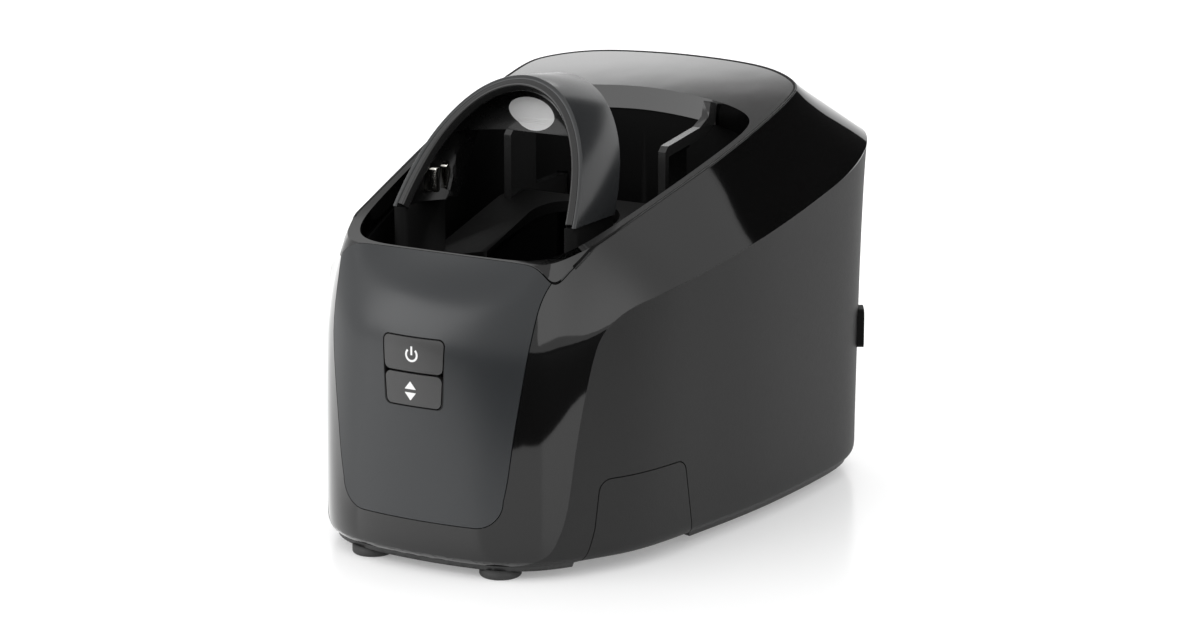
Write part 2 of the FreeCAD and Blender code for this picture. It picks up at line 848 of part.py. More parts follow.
def tunnel(inset, front_run, rear_run):
    """Solid that fills the arch from one run behind its rim plane to another."""
    slope = rear_apex_drop / hood_depth
    return Part.makeLoft([arch_wire(inset, front_run, slope * front_run),
                          arch_wire(inset, rear_run, slope * rear_run)], True, True)


def above_hood_foot(shape):
    return biggest(shape.cut(box((-half_width, front, 0), (half_width, -front, hood_bottom_height))))


def holder_hood():
    shell = tunnel(0.0, 0.0, hood_depth)
    return above_hood_foot(shell.cut(tunnel(hood_wall, -8.0, hood_depth + 8.0)))


def holder_rim():
    outside = hood_wall + rim_groove
    ring = tunnel(outside, 0.0, rim_depth)
    return above_hood_foot(ring.cut(tunnel(outside + rim_width, -8.0, rim_depth + 8.0)))


def holder_liner():
    """Dark scoop inside the hood: side walls and a back the shaver's handle leans on."""
    outside = hood_wall + rim_groove
    block = above_hood_foot(tunnel(outside, rim_depth + part_gap, hood_depth - 1.5))
    scoop = Part.makeLoft([arch_wire(outside + rim_width, -4.0, 0.0),
                           arch_wire(outside + rim_width + 1.5, 14.0, 1.0),
                           arch_wire(outside + rim_width + 9.0, 22.0, 3.0)], True, False)
    back_door = box((-head_half_width + 4, front, 0),
                    (head_half_width - 4, -front, hood_bottom_height + 24))
    return biggest(block.cut([scoop, back_door, contact_pins()]))


def holder_frame():
    """Legs that carry the hood, and the sloping base with the hole for head and neck."""
    low_y = setback(base_setback_front)
    high_y = setback(base_setback_rear)

    def base_z(y):
        return base_height_front + base_slope * (y - front)

    slab = side_profile([(low_y, base_z(low_y) - base_thickness), (high_y, base_z(high_y) - base_thickness),
                         (high_y, base_z(high_y)), (low_y, base_z(low_y))], base_half_width)
    outline = rounded_polygon([Vector(-base_half_width, low_y, 0), Vector(base_half_width, low_y, 0),
                               Vector(base_half_width, high_y, 0), Vector(-base_half_width, high_y, 0)],
                              9.0, Vector(0, 0, tower_height))
    slab = slab.common(outline)
    head = oval(head_half_width, head_half_length, 0, tower_height, setback(head_setback))
    neck_y = setback(neck_setback_rear)
    neck = rounded_polygon([Vector(-neck_half_width + 3, setback(head_setback), 0),
                            Vector(neck_half_width - 3, setback(head_setback), 0),
                            Vector(neck_half_width, neck_y, 0), Vector(-neck_half_width, neck_y, 0)],
                           12.0, Vector(0, 0, tower_height))
    arm_slot = box((arm_offset - arm_thickness / 2 - part_gap / 3, setback(arm_setback_front) - part_gap / 3, 0),
                   (arm_offset + arm_thickness / 2 + part_gap / 3, high_y + 1, tower_height))
    slab = slab.cut([head.fuse(neck), arm_slot, mirrored(arm_slot)])
    leg_y = arch_plane_y(hood_bottom_height)
    leg_x = arch_shape[-1][0] - hood_wall
    leg = box((leg_x - leg_thickness, leg_y + rim_depth, base_z(leg_y) - base_thickness / 2),
              (leg_x, leg_y + leg_depth, hood_bottom_height - part_gap))
    toe = box((leg_x - leg_thickness, leg_y, base_z(leg_y)),
              (leg_x, leg_y + rim_depth, hood_bottom_height - part_gap))
    return biggest(joined([slab, leg, toe, mirrored(leg), mirrored(toe)]))


def contact_pins():
    """Two charging contacts that stand out of the liner's left wall."""
    pins = []
    for run in (9.0, 16.0):
        y = arch_plane_y(contact_height) + run
        wall_x = -arch_half_width(contact_height + contact_length / 2) + hood_wall + rim_groove + 0.6
        pin = rounded_polygon([Vector(wall_x, y - contact_width / 2, contact_height - contact_length / 2),
                               Vector(wall_x, y + contact_width / 2, contact_height - contact_length / 2),
                               Vector(wall_x, y + contact_width / 2, contact_height + contact_length / 2),
                               Vector(wall_x, y - contact_width / 2, contact_height + contact_length / 2)],
                              0.8, Vector(contact_reach, 0, 0))
        pins.append(pin)
    return Part.makeCompound(pins)


def lift_arm():
    """Right arm: a web with a raised border along its top and front, and a hooked end."""
    y0 = setback(arm_setback_front)
    top = arm_top_height
    tongue_top = tongue_bottom + tongue_height
    tongue_end = setback(carriage_setback)
    outline = [(y0, tongue_bottom), (tongue_end, tongue_bottom), (tongue_end, tongue_top),
               (y0 + 18, tongue_top), (y0 + 18, top - 2), (y0 + 31, top - 1), (y0 + 37, top + 2),
               (y0 + 38.5, top + 6), (y0 + 38.5, top + 10), (y0 + 34, top + 11.5),
               (y0 + 32.5, top + 6), (y0 + 26, top + 3), (y0 + 2, top), (y0, top - 2)]
    border = [(y0 + 2.6, tongue_top + 2), (y0 + 40, tongue_top + 2), (y0 + 40, top - arm_border + 1),
              (y0 + 24, top - arm_border + 1.5), (y0 + 2.6, top - arm_border)]
    whole = side_profile(outline, arm_thickness / 2)
    pocket = side_profile(border, arm_thickness)
    pocket.translate(Vector(arm_thickness + arm_web - arm_thickness / 2, 0, 0))
    arm = biggest(whole.cut(pocket))
    arm.translate(Vector(arm_offset, 0, 0))
    return arm


# ---- lift drive ----------------------------------------------------------------------

rod_y = setback(carriage_setback + carriage_depth / 2)
drive_y = setback(nut_setback)
carriage_low = tongue_bottom
carriage_high = tongue_bottom + tongue_height
gear_low = floor_top + gear_lift
gear_high = gear_low + gear_thickness
gear_distance = gear_module * (gear_teeth + pinion_teeth) / 2
motor_offset = gear_distance * math.cos(math.radians(motor_bearing))
motor_y = drive_y + gear_distance * math.sin(math.radians(motor_bearing))


def lift_carriage():
    block = box((-carriage_half_width, setback(carriage_setback), carriage_low),
                (carriage_half_width, setback(carriage_setback + carriage_depth), carriage_high))
    block = block.makeFillet(2.5, [edge for edge in block.Edges
                                   if abs(edge.BoundBox.ZLength - tongue_height) < 0.01
                                   and edge.BoundBox.YMin > rod_y])
    lobe = joined([cylinder(nut_diameter / 2 + lobe_wall, carriage_low, carriage_high, 0, drive_y),
                   box((-nut_diameter / 2 - lobe_wall, rod_y, carriage_low),
                       (nut_diameter / 2 + lobe_wall, drive_y, carriage_high))])
    holes = [cylinder(nut_diameter / 2, 0, tower_height, 0, drive_y)]
    for x in (rod_offset, -rod_offset):
        holes.append(cylinder(rod_diameter / 2 + bush_wall, 0, tower_height, x, rod_y))
    return biggest(joined([block, lobe]).cut(holes))


def lift_nut():
    body = cylinder(nut_diameter / 2, carriage_low, carriage_high, 0, drive_y)
    flange = cylinder(nut_diameter / 2 + 2, carriage_high, carriage_high + 2, 0, drive_y)
    return joined([body, flange]).cut(
        cylinder(screw_diameter / 2 + running_clearance, 0, tower_height, 0, drive_y))


def carriage_bushes():
    return Part.makeCompound([
        tube(rod_diameter / 2 + bush_wall, rod_diameter / 2 + running_clearance, carriage_low,
             carriage_high, x, rod_y) for x in (rod_offset, -rod_offset)])


def guide_rods():
    return Part.makeCompound([
        cylinder(rod_diameter / 2, floor_height + 1, rod_top_height, x, rod_y)
        for x in (rod_offset, -rod_offset)])


def rod_bracket():
    """Plate behind the well that holds the tops of the rods and of the lead screw."""
    low = rod_top_height - bracket_thickness
    plate = box((-rod_offset - 7, setback(carriage_setback - 1.6), low),
                (rod_offset + 7, setback(carriage_setback + carriage_depth + 1), rod_top_height + 1))
    tail = box((-8, rod_y, low), (8, drive_y + 7, rod_top_height + 1))
    plate = joined([plate, tail])
    plate = plate.cut(prism(grown(opening, well_wall - well_ledge + 0.2), 0, tower_height))
    for x in (rod_offset, -rod_offset):
        plate = plate.cut(cylinder(rod_diameter / 2, 0, rod_top_height, x, rod_y))
    journal = screw_diameter / 2 - journal_step + running_clearance
    return biggest(plate.cut(cylinder(journal, 0, tower_height, 0, drive_y)))


def lead_screw():
    """Lift screw with a turned-down bearing end at its foot and head."""
    thick = cylinder(screw_diameter / 2, floor_top + 0.5, rod_top_height - bracket_thickness - 0.5, 0, drive_y)
    journal = screw_diameter / 2 - journal_step
    foot = cylinder(journal, floor_height + 1.2, floor_top + 0.5, 0, drive_y)
    head = cylinder(journal, rod_top_height - bracket_thickness - 0.5, rod_top_height, 0, drive_y)
    return joined([thick, foot, head])


def toothed_wheel(teeth, bore, low, high, turn):
    """Spur gear with straight-flanked teeth, turned by a share of its pitch."""
    pitch_radius = gear_module * teeth / 2
    tip = pitch_radius + 0.85 * gear_module
    root = pitch_radius - 1.15 * gear_module
    step = 2 * math.pi / teeth
    outline = []
    for index in range(teeth):
        middle = step * (index + turn)
        for radius, offset in ((root, -0.30), (tip, -0.12), (tip, 0.12), (root, 0.30)):
            angle = middle + offset * step
            outline.append(Vector(radius * math.cos(angle), radius * math.sin(angle), low))
    wheel = Part.Face(Part.makePolygon(outline + outline[:1])).extrude(Vector(0, 0, high - low))
    return wheel.cut(cylinder(bore, low - 1, high + 1))


def mesh_turns():
    """Turns that put a gear tooth and a pinion gap on the line between their centres."""
    toward_pinion = math.radians(motor_bearing)
    gear_step = 2 * math.pi / gear_teeth
    pinion_step = 2 * math.pi / pinion_teeth
    return toward_pinion / gear_step, (toward_pinion + math.pi) / pinion_step + 0.5


def screw_gear():
    wheel = toothed_wheel(gear_teeth, screw_diameter / 2, gear_low, gear_high, mesh_turns()[0])
    wheel.translate(Vector(0, drive_y, 0))
    return wheel


def motor_pinion():
    wheel = toothed_wheel(pinion_teeth, 1.0, gear_low, gear_high, mesh_turns()[1])
    shaft = cylinder(1.0, gear_low, gear_high + 1.0 + bracket_thickness)
    pinion = joined([wheel, shaft])
    pinion.translate(Vector(motor_offset, motor_y, 0))
    return pinion


bracket_low = gear_high + 1.0
bracket_high = bracket_low + bracket_thickness


def motor_bracket():
    reach = motor_diameter / 2 + 1
    low = (motor_offset - reach, motor_y - reach)
    high = (motor_offset + reach, motor_y + reach)
    plate = box((low[0], low[1], bracket_low), (high[0], high[1], bracket_high))
    rear_leg = box((low[0], high[1] - bracket_thickness, floor_top), (high[0], high[1], bracket_high))
    side_leg = box((high[0] - bracket_thickness, motor_y, floor_top), (high[0], high[1], bracket_high))
    bracket = joined([plate, rear_leg, side_leg])
    return bracket.cut(cylinder(1.0 + 4 * running_clearance, 0, tower_height, motor_offset, motor_y))


def lift_motor():
    low = bracket_high
    can = cylinder(motor_diameter / 2, low, low + motor_length, motor_offset, motor_y)
    can = can.makeFillet(1.5, [edge for edge in can.Edges if edge.BoundBox.ZMin > low + motor_length - 0.1])
    flat = [box((motor_offset + sign * 10 - 2, motor_y - 20, low - 1),
                (motor_offset + sign * 10 + 2, motor_y + 20, low + motor_length + 1)) for sign in (1.2, -1.2)]
    tail = cylinder(3.0, low + motor_length - 0.5, low + motor_length + 2, motor_offset, motor_y)
    return joined([can.cut(flat), tail])


def pump_motor():
    y = setback(pump_setback)
    can = cylinder(pump_motor_diameter / 2, floor_top, floor_top + pump_motor_length, pump_offset, y)
    can = can.makeFillet(2.0, [edge for edge in can.Edges
                               if edge.BoundBox.ZMin > floor_top + pump_motor_length - 0.1])
    bore = cylinder(pump_shaft_diameter / 2 + running_clearance, 0, floor_top + 8, pump_offset, y)
    return can.cut(bore)


def pump_impeller():
    """Shaft with a vaned rotor that hangs in the sump."""
    low = foot_height + chamber_floor + impeller_floor_gap
    disc = cylinder(impeller_diameter / 2, low, low + 1.5)
    hub = cylinder(3.0, low, low + impeller_height)
    vane = box((2.0, -0.6, low), (impeller_diameter / 2 - 0.5, 0.6, low + impeller_height))
    shaft = cylinder(pump_shaft_diameter / 2, low, floor_top + 7)
    vanes = []
    for index in range(vane_count):
        blade = vane.copy()
        blade.rotate(Vector(0, 0, 0), UP, 360 * index / vane_count)
        vanes.append(blade)
    rotor = joined([disc, hub, shaft] + vanes)
    rotor.translate(Vector(pump_offset, setback(pump_setback), 0))
    return rotor


# ---- fluid chamber -------------------------------------------------------------------

cover_high = floor_height - part_gap
cover_low = cover_high - chamber_cover_thickness


def chamber_outline(extra):
    return wall_ring(wall + chamber_clearance + extra)


def fluid_space(grow, low, high):
    """Basin under the shaver head, the channel behind it and the pump sump."""
    basin = oval(basin_half_width + grow, basin_half_length + grow, low, high, setback(basin_setback))
    sump = cylinder(sump_radius + grow, low, high, pump_offset, setback(pump_setback))
    return joined([basin, sump, channel(grow, low, high)])


def channel(grow, low, high):
    """Slanting passage from the back of the basin to the sump."""
    half = channel_width / 2 + grow
    start_y = setback(basin_setback + basin_half_length / 2)
    corners = [Vector(channel_start - half, start_y, low), Vector(channel_start + half, start_y, low),
               Vector(pump_offset + half, setback(pump_setback), low),
               Vector(pump_offset - half, setback(pump_setback), low)]
    return Part.Face(Part.makePolygon(corners + corners[:1])).extrude(Vector(0, 0, high - low))


def tab_pocket():
    """Room behind the tab for its travel, its two pins and its spring."""
    reach = tab_bulge + wall + tab_travel + 1.0
    pocket = tab_prism(-1.2, reach)
    return pocket


def tab_seat():
    """Upright pad on the tray, square to the tab's travel, with its pin and spring holes."""
    face = tab_bulge + wall + tab_travel + 1.0
    half = tab_pin_spacing / 2 + 7
    pad = box((-half, face, foot_height), (half, face + 9, cover_low))
    holes = []
    for x in (-tab_pin_spacing / 2, tab_pin_spacing / 2):
        holes.append(Part.makeCylinder(pin_radius + running_clearance, 12,
                                       Vector(x, face - 1, tab_pin_height), Vector(0, 1, 0)))
    holes.append(Part.makeCylinder(spring_radius + 0.8, 5, Vector(0, face - 1, tab_pin_height), Vector(0, 1, 0)))
    pad = pad.cut(holes)
    pad.Placement = tab_place
    return pad


def tab_seat_room():
    room = []
    face = tab_bulge + wall + tab_travel + 1.0
    for x in (-tab_pin_spacing / 2, tab_pin_spacing / 2):
        hole = Part.makeCylinder(pin_radius + running_clearance, 40,
                                 Vector(x, face - 1, tab_pin_height), Vector(0, 1, 0))
        hole.Placement = tab_place
        room.append(hole)
    return room


def chamber_tray():
    floor_z = foot_height + chamber_floor
    outside = prism(chamber_outline(0.0), foot_height, cover_low)
    inside = prism(chamber_outline(chamber_wall), floor_z, cover_low + 1)
    walls = outside.cut(inside)
    pocket = tab_pocket()
    seat = tab_seat()
    fluid = fluid_space(chamber_wall, foot_height, cover_low)
    body = joined([walls.cut([pocket, mirrored(pocket)]), seat, mirrored(seat), fluid])
    rooms = tab_seat_room()
    hollow = fluid_space(0.0, floor_z, cover_low + 1)
    return biggest(body.cut([hollow] + rooms + [mirrored(room) for room in rooms]))


def chamber_cover():
    plate = prism(chamber_outline(0.0), cover_low, cover_high)
    y = setback(basin_setback)
    plate = plate.cut(oval(basin_half_width - 4, basin_half_length - 4, 0, tower_height, y))
    plate = plate.cut(cylinder(impeller_diameter / 2 + 1, 0, tower_height, pump_offset, setback(pump_setback)))
    for x, screw_y in boss_spots:
        plate = plate.cut(cylinder(screw_head / 2 + 1, cover_high - 1, tower_height, x, screw_y))
    return biggest(plate)


def splash_collar():
    """Raised lip round the opening over the basin."""
    y = setback(basin_setback)
    inner_x = basin_half_width - 4
    inner_y = basin_half_length - 4
    ring = oval(inner_x + collar_wall, inner_y + collar_wall, cover_high, cover_high + collar_height, y)
    return ring.cut(oval(inner_x, inner_y, cover_high - 1, cover_high + collar_height + 1, y))


def spray_plate():
    """Dished plate on the basin floor with three nozzle domes for the shaving heads."""
    y = setback(basin_setback)
    low = foot_height + chamber_floor
    plate = cylinder(spray_radius, low + basin_floor, low + basin_floor + spray_thickness, 0, y)
    rim = tube(spray_radius, spray_radius - 1.6, low + basin_floor, low + basin_floor + 5, 0, y)
    pieces = [plate, rim]
    drains = []
    for index in range(3):
        angle = math.radians(90 + 120 * index)
        x = 12.0 * math.cos(angle)
        spot_y = y + 12.0 * math.sin(angle)
        pieces.append(Part.makeCone(6.5, 4.0, 4.0, Vector(x, spot_y, low + basin_floor + 1)))
        pieces.append(cylinder(3.0, low, low + basin_floor + 1, x, spot_y))
        drains.append(cylinder(1.5, low + basin_floor + 2, tower_height, x, spot_y))
        drains.append(cylinder(2.2, 0, tower_height, -x * 1.45, y - (spot_y - y) * 1.45))
    return joined(pieces).cut(drains)


def intake_strainer():
    """Slotted screen across the channel between the basin and the pump."""
    low = foot_height + chamber_floor
    y = setback(basin_setback + basin_half_length + 12)
    screen = box((-half_width, y, low), (half_width, y + strainer_thickness, low + strainer_height))
    screen = screen.common(channel(-0.1, low, cover_low))
    middle = screen.BoundBox.Center.x
    step = channel_width / (strainer_slots + 1)
    slots = []
    for index in range(strainer_slots):
        x = middle + (index - (strainer_slots - 1) / 2) * step
        slots.append(box((x - 0.7, y - 1, low + 3), (x + 0.7, y + 3, low + strainer_height - 4)))
    return screen.cut(slots)


def foot(x, y):
    pad = cylinder(foot_diameter / 2, 0, foot_height, x, y)
    low_edges = [edge for edge in pad.Edges if edge.BoundBox.ZMax < 0.1]
    return pad.makeFillet(0.3 * foot_height, low_edges)


foot_spots = {
    "foot_front_right": (foot_spacing_front / 2, setback(foot_setback_front)),
    "foot_front_left": (-foot_spacing_front / 2, setback(foot_setback_front)),
    "foot_rear_right": (foot_spacing_rear / 2, -front - foot_setback_rear),
    "foot_rear_left": (-foot_spacing_rear / 2, -front - foot_setback_rear)}


def release_tab():
    """Right tab: a flush piece of the side wall on two guide pins."""
    key = biggest(skin.common(tab_prism(tab_gap, 12.0)))
    face = tab_bulge + wall + tab_travel + 1.0
    pins = []
    for x in (-tab_pin_spacing / 2, tab_pin_spacing / 2):
        pins.append(Part.makeCylinder(pin_radius, face + 5, Vector(x, 0.5, tab_pin_height), Vector(0, 1, 0)))
    peg = Part.makeCylinder(spring_radius - spring_wire - 0.4, 3.5, Vector(0, 0.5, tab_pin_height), Vector(0, 1, 0))
    for piece in pins + [peg]:
        piece.Placement = tab_place
    cover = [piece.cut(tab_outside()) for piece in pins + [peg]]
    return joined([key] + cover)


def tab_outside():
    """Space outside the tab's outer face, which its pins do not reach."""
    block = box((-200, -40, -10), (200, 60, 80))
    block.Placement = tab_place
    return block.cut(outer)


def tab_spring():
    """Coil spring between the tab and its pad, swept along a helix."""
    length = wall + tab_travel + 1.0 + spring_seat
    turn_radius = spring_radius - spring_wire / 2
    helix = Part.makeHelix((length - spring_wire) / spring_turns, length - spring_wire, turn_radius)
    half = spring_wire / 2
    section = Part.makePolygon([Vector(turn_radius + x * half, 0, z * half) for x, z in (
        (-1, -1), (1, -1), (1, 1), (-1, 1), (-1, -1))])
    coil = Part.Wire(helix).makePipeShell([section], True, True)
    coil.rotate(Vector(0, 0, 0), Vector(1, 0, 0), -90)
    coil.translate(Vector(0, tab_bulge - spring_slack + spring_wire / 2, tab_pin_height))
    coil.Placement = tab_place.multiply(coil.Placement)
    return coil


# ---- export --------------------------------------------------------------------------

def build():
    tab = release_tab()
    spring = tab_spring()
    arm = lift_arm()
    nodes = {
        "main_housing": main_housing(),
        "front_panel": front_panel(),
        "top_cover": top_cover(),
        "inner_well": inner_well(),
        "housing_floor": housing_floor(),
        "housing_screws": housing_screws(),
        "power_button": button("power_button"),
        "lift_button": button("lift_button"),
        "control_board": control_board(),
        "button_switches": button_switches(),
        "power_inlet": power_inlet(),
        "inlet_pins": inlet_pins(),
        "power_board": power_board(),
        "holder_hood": holder_hood(),
        "holder_rim": holder_rim(),
        "holder_liner": holder_liner(),
        "holder_frame": holder_frame(),
        "contact_pins": contact_pins(),
        "lift_arm_right": arm,
        "lift_arm_left": mirrored(arm),
        "lift_carriage": lift_carriage(),
        "lift_nut": lift_nut(),
        "carriage_bushes": carriage_bushes(),
        "guide_rods": guide_rods(),
        "rod_bracket": rod_bracket(),
        "lead_screw": lead_screw(),
        "screw_gear": screw_gear(),
        "motor_pinion": motor_pinion(),
        "motor_bracket": motor_bracket(),
        "lift_motor": lift_motor(),
        "pump_motor": pump_motor(),
        "pump_impeller": pump_impeller(),
        "chamber_tray": chamber_tray(),
        "chamber_cover": chamber_cover(),
        "splash_collar": splash_collar(),
        "spray_plate": spray_plate(),
        "intake_strainer": intake_strainer(),
        "release_tab_right": tab,
        "release_tab_left": mirrored(tab),
        "tab_spring_right": spring,
        "tab_spring_left": mirrored(spring),
    }
    for name, (x, y) in foot_spots.items():
        nodes[name] = foot(x, y)
    return nodes


os.makedirs("parts", exist_ok=True)
for node, shape in build().items():
    shape.exportStep("parts/" + node + ".step")
    print(node, "valid" if shape.isValid() else "INVALID", len(shape.Solids), round(shape.Volume, 1))
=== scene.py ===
# %% [markdown]
# ## A shaver cleaning station, dressed for a product picture
#
# The mechanical model gives every solid piece in its place. This notebook gives the pieces
# their plastics, adds the moulded skins that need finer surfaces, and lights the whole on a
# pale table. Everything is in metres, +Z up, with the front of the station towards -Y.

# %% Load the mechanical model
import json
import math

import bpy
import bmesh
import numpy as np
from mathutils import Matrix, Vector
from mathutils.bvhtree import BVHTree
from mathutils.geometry import tessellate_polygon


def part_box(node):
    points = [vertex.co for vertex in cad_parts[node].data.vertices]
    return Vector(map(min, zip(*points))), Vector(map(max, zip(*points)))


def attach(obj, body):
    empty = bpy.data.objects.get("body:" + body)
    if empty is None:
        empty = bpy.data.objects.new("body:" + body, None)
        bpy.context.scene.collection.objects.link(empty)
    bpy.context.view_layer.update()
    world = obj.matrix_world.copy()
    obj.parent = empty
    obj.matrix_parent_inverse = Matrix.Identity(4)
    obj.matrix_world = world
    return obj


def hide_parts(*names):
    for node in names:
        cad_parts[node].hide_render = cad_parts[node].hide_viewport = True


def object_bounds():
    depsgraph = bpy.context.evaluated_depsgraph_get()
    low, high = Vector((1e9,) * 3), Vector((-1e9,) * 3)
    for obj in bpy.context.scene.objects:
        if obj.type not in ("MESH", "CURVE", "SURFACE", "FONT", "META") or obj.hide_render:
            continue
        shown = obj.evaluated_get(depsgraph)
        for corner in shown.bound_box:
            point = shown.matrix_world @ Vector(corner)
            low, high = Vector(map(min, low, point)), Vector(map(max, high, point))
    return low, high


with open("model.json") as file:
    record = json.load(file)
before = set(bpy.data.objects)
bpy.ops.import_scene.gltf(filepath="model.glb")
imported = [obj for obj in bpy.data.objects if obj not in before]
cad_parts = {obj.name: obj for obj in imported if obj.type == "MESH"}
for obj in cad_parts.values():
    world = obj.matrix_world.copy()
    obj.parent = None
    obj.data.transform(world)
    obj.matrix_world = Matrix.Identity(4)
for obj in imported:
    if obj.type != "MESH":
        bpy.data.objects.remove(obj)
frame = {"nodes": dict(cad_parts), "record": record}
cad_box = [list(corner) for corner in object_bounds()]
scene = bpy.context.scene
nodes = frame["nodes"]
MM = 0.001                   # millimetres to metres
print("nodes:", len(nodes), "box:", cad_box)

# %% [markdown]
# ## Shader maths in plain expressions
#
# A material is a network of small nodes. Wiring each one by hand hides what it computes, so
# a socket is wrapped in a class whose operators add the nodes: `1 - mask * 0.5` reads as it
# would on paper. Any other node comes from `Shader.node`, which takes its type, its settings
# and what goes into its sockets.

# %% A small class for sockets


class Value:
    """A node's output socket that can be used in arithmetic."""

    def __init__(self, shader, socket):
        self.shader = shader
        self.socket = socket

    def math(self, operation, *others):
        return self.shader.node("ShaderNodeMath", {"operation": operation}, {
            index: other for index, other in enumerate((self,) + others)})

    def __add__(self, other):
        return self.math("ADD", other)

    def __mul__(self, other):
        return self.math("MULTIPLY", other)

    def __sub__(self, other):
        return self.math("SUBTRACT", other)

    def __rsub__(self, other):
        return (self * -1) + other

    def __truediv__(self, other):
        return self.math("DIVIDE", other)

    def ramp(self, low, high):
        """0 below low, 1 above high and smooth in between."""
        return self.shader.node("ShaderNodeMapRange", {"interpolation_type": "SMOOTHSTEP"}, {
            "Value": self, "From Min": low, "From Max": high})


class Shader:
    """A new material with one Principled shader and helpers that add nodes to it."""

    def __init__(self, name, **fixed):
        self.material = bpy.data.materials.new(name)
        self.material.use_nodes = True
        self.tree = self.material.node_tree
        self.principled = self.tree.nodes["Principled BSDF"]
        for socket, value in fixed.items():
            self.set(socket.replace("_", " "), value)
        texture = self.tree.nodes.new("ShaderNodeTexCoord")
        self.place = Value(self, texture.outputs["Object"])

    def node(self, kind, settings=None, inputs=None, output=0):
        node = self.tree.nodes.new(kind)
        for name, value in (settings or {}).items():
            setattr(node, name, value)
        for name, value in (inputs or {}).items():
            if isinstance(value, Value):
                self.tree.links.new(value.socket, node.inputs[name])
            else:
                node.inputs[name].default_value = value
        return Value(self, node.outputs[output])

    def set(self, socket, value):
        target = self.principled.inputs[socket]
        if isinstance(value, Value):
            self.tree.links.new(value.socket, target)
        else:
            target.default_value = value

    def split(self, vector):
        """The X, Y and Z of a vector."""
        node = self.tree.nodes.new("ShaderNodeSeparateXYZ")
        self.tree.links.new(vector.socket, node.inputs[0])
        return [Value(self, output) for output in node.outputs]

    def noise(self, scale, detail=2.0):
        return self.node("ShaderNodeTexNoise", None, {
            "Vector": self.place, "Scale": scale, "Detail": detail, "Roughness": 0.5})

    def blotches(self):
        """Slow drift, a few centimetres from one blotch to the next."""
        return self.noise(18.0, 3.0)

    def specks(self):
        """Fine drift, a few millimetres from one speck to the next."""
        return self.noise(420.0)

    def grain(self, scale):
        """Distance to the nearest of many scattered points: the pits of a moulding texture."""
        return self.node("ShaderNodeTexVoronoi", {"feature": "F1"}, {
            "Vector": self.place, "Scale": scale})

    def mix(self, share, first, second):
        return self.node("ShaderNodeMix", {"data_type": "RGBA"}, {
            0: share, 6: first, 7: second}, output=2)

    def bump(self, height, strength, distance):
        self.set("Normal", self.node("ShaderNodeBump", None, {
            "Strength": strength, "Distance": distance, "Height": height}))


def grey(level, warmth=0.0):
    return (level * (1 + warmth), level, level * (1 - warmth), 1.0)


# %% [markdown]
# ## Plastics
#
# The station's black plastics differ by their finish alone: a finely textured one on the side
# walls, satin ones on the front panel, the hood and the bead, a piano-gloss one on the bevel
# and the cover, and plain moulded ones inside. Fine pits and a slow drift in roughness keep
# them from looking painted on.

# %% Materials


def tinted(shader, slow, level, warmth=0.0):
    """A grey that drifts a tenth darker and lighter with the slow noise."""
    return shader.mix(slow, grey(level * 0.9, warmth), grey(level * 1.12, warmth))


def plastic(name, level, roughness, drift=0.04, pit_scale=0.0, pit_depth=0.0, warmth=0.0,
            specular=0.5):
    """Moulded plastic: slow drift of colour and roughness, and pits if it is textured."""
    shader = Shader(name, IOR=1.49)
    shader.set("Specular IOR Level", specular)
    slow, fine = shader.blotches(), shader.specks()
    shader.set("Base Color", tinted(shader, slow, level, warmth))
    shader.set("Roughness", (slow - 0.5) * drift + (fine - 0.5) * drift + roughness)
    if pit_scale:
        shader.bump(shader.grain(pit_scale), 0.35, pit_depth)
    else:
        shader.bump(shader.noise(60.0, 1.0), 0.04, 0.0002)
    return shader.material


def metal(name, colour, roughness, streaks):
    """Turned or rolled metal with fine streaks along Z."""
    shader = Shader(name, Metallic=1.0)
    stretched = shader.node("ShaderNodeMapping", None, {
        "Vector": shader.place, "Scale": (streaks, streaks, streaks * 0.05)})
    lines = shader.node("ShaderNodeTexNoise", None, {
        "Vector": stretched, "Scale": 1.0, "Detail": 4.0})
    shader.set("Base Color", shader.mix(lines, tuple(c * 0.85 for c in colour) + (1.0,),
                                        tuple(min(c * 1.1, 1.0) for c in colour) + (1.0,)))
    shader.set("Roughness", (lines - 0.5) * 0.2 + roughness)
    shader.bump(lines, 0.1, 0.0001)
    return shader.material


# %% The finishes
gloss_level, gloss_roughness = 0.001, 0.045
texture_level, texture_roughness = 0.017, 0.5
gloss_black = plastic("piano_black_plastic", gloss_level, gloss_roughness, 0.015)
inner_black = plastic("moulded_black_plastic", 0.003, 0.55, 0.08, specular=0.08)
satin_black = plastic("satin_black_plastic", 0.014, 0.22, 0.05)
liner_black = plastic("liner_black_plastic", 0.003, 0.28, 0.06, specular=0.3)
hood_satin = plastic("satin_hood_plastic", 0.022, 0.2, 0.04, warmth=-0.05)
chamber_black = plastic("chamber_black_plastic", 0.014, 0.5, 0.06)
rubber_black = plastic("rubber_black", 0.018, 0.62, 0.1, 900.0, 0.0001)
acetal_white = plastic("acetal_white", 0.72, 0.4, 0.05, warmth=0.02)
board_green = plastic("board_green", 0.06, 0.35, 0.05)
print_white = plastic("print_white", 0.72, 0.45, 0.04)
steel = metal("turned_steel", (0.62, 0.62, 0.63), 0.28, 900.0)
brass = metal("turned_brass", (0.72, 0.55, 0.28), 0.26, 900.0)
contact_metal = metal("contact_metal", (0.86, 0.84, 0.78), 0.12, 500.0)
print("materials:", len(bpy.data.materials))
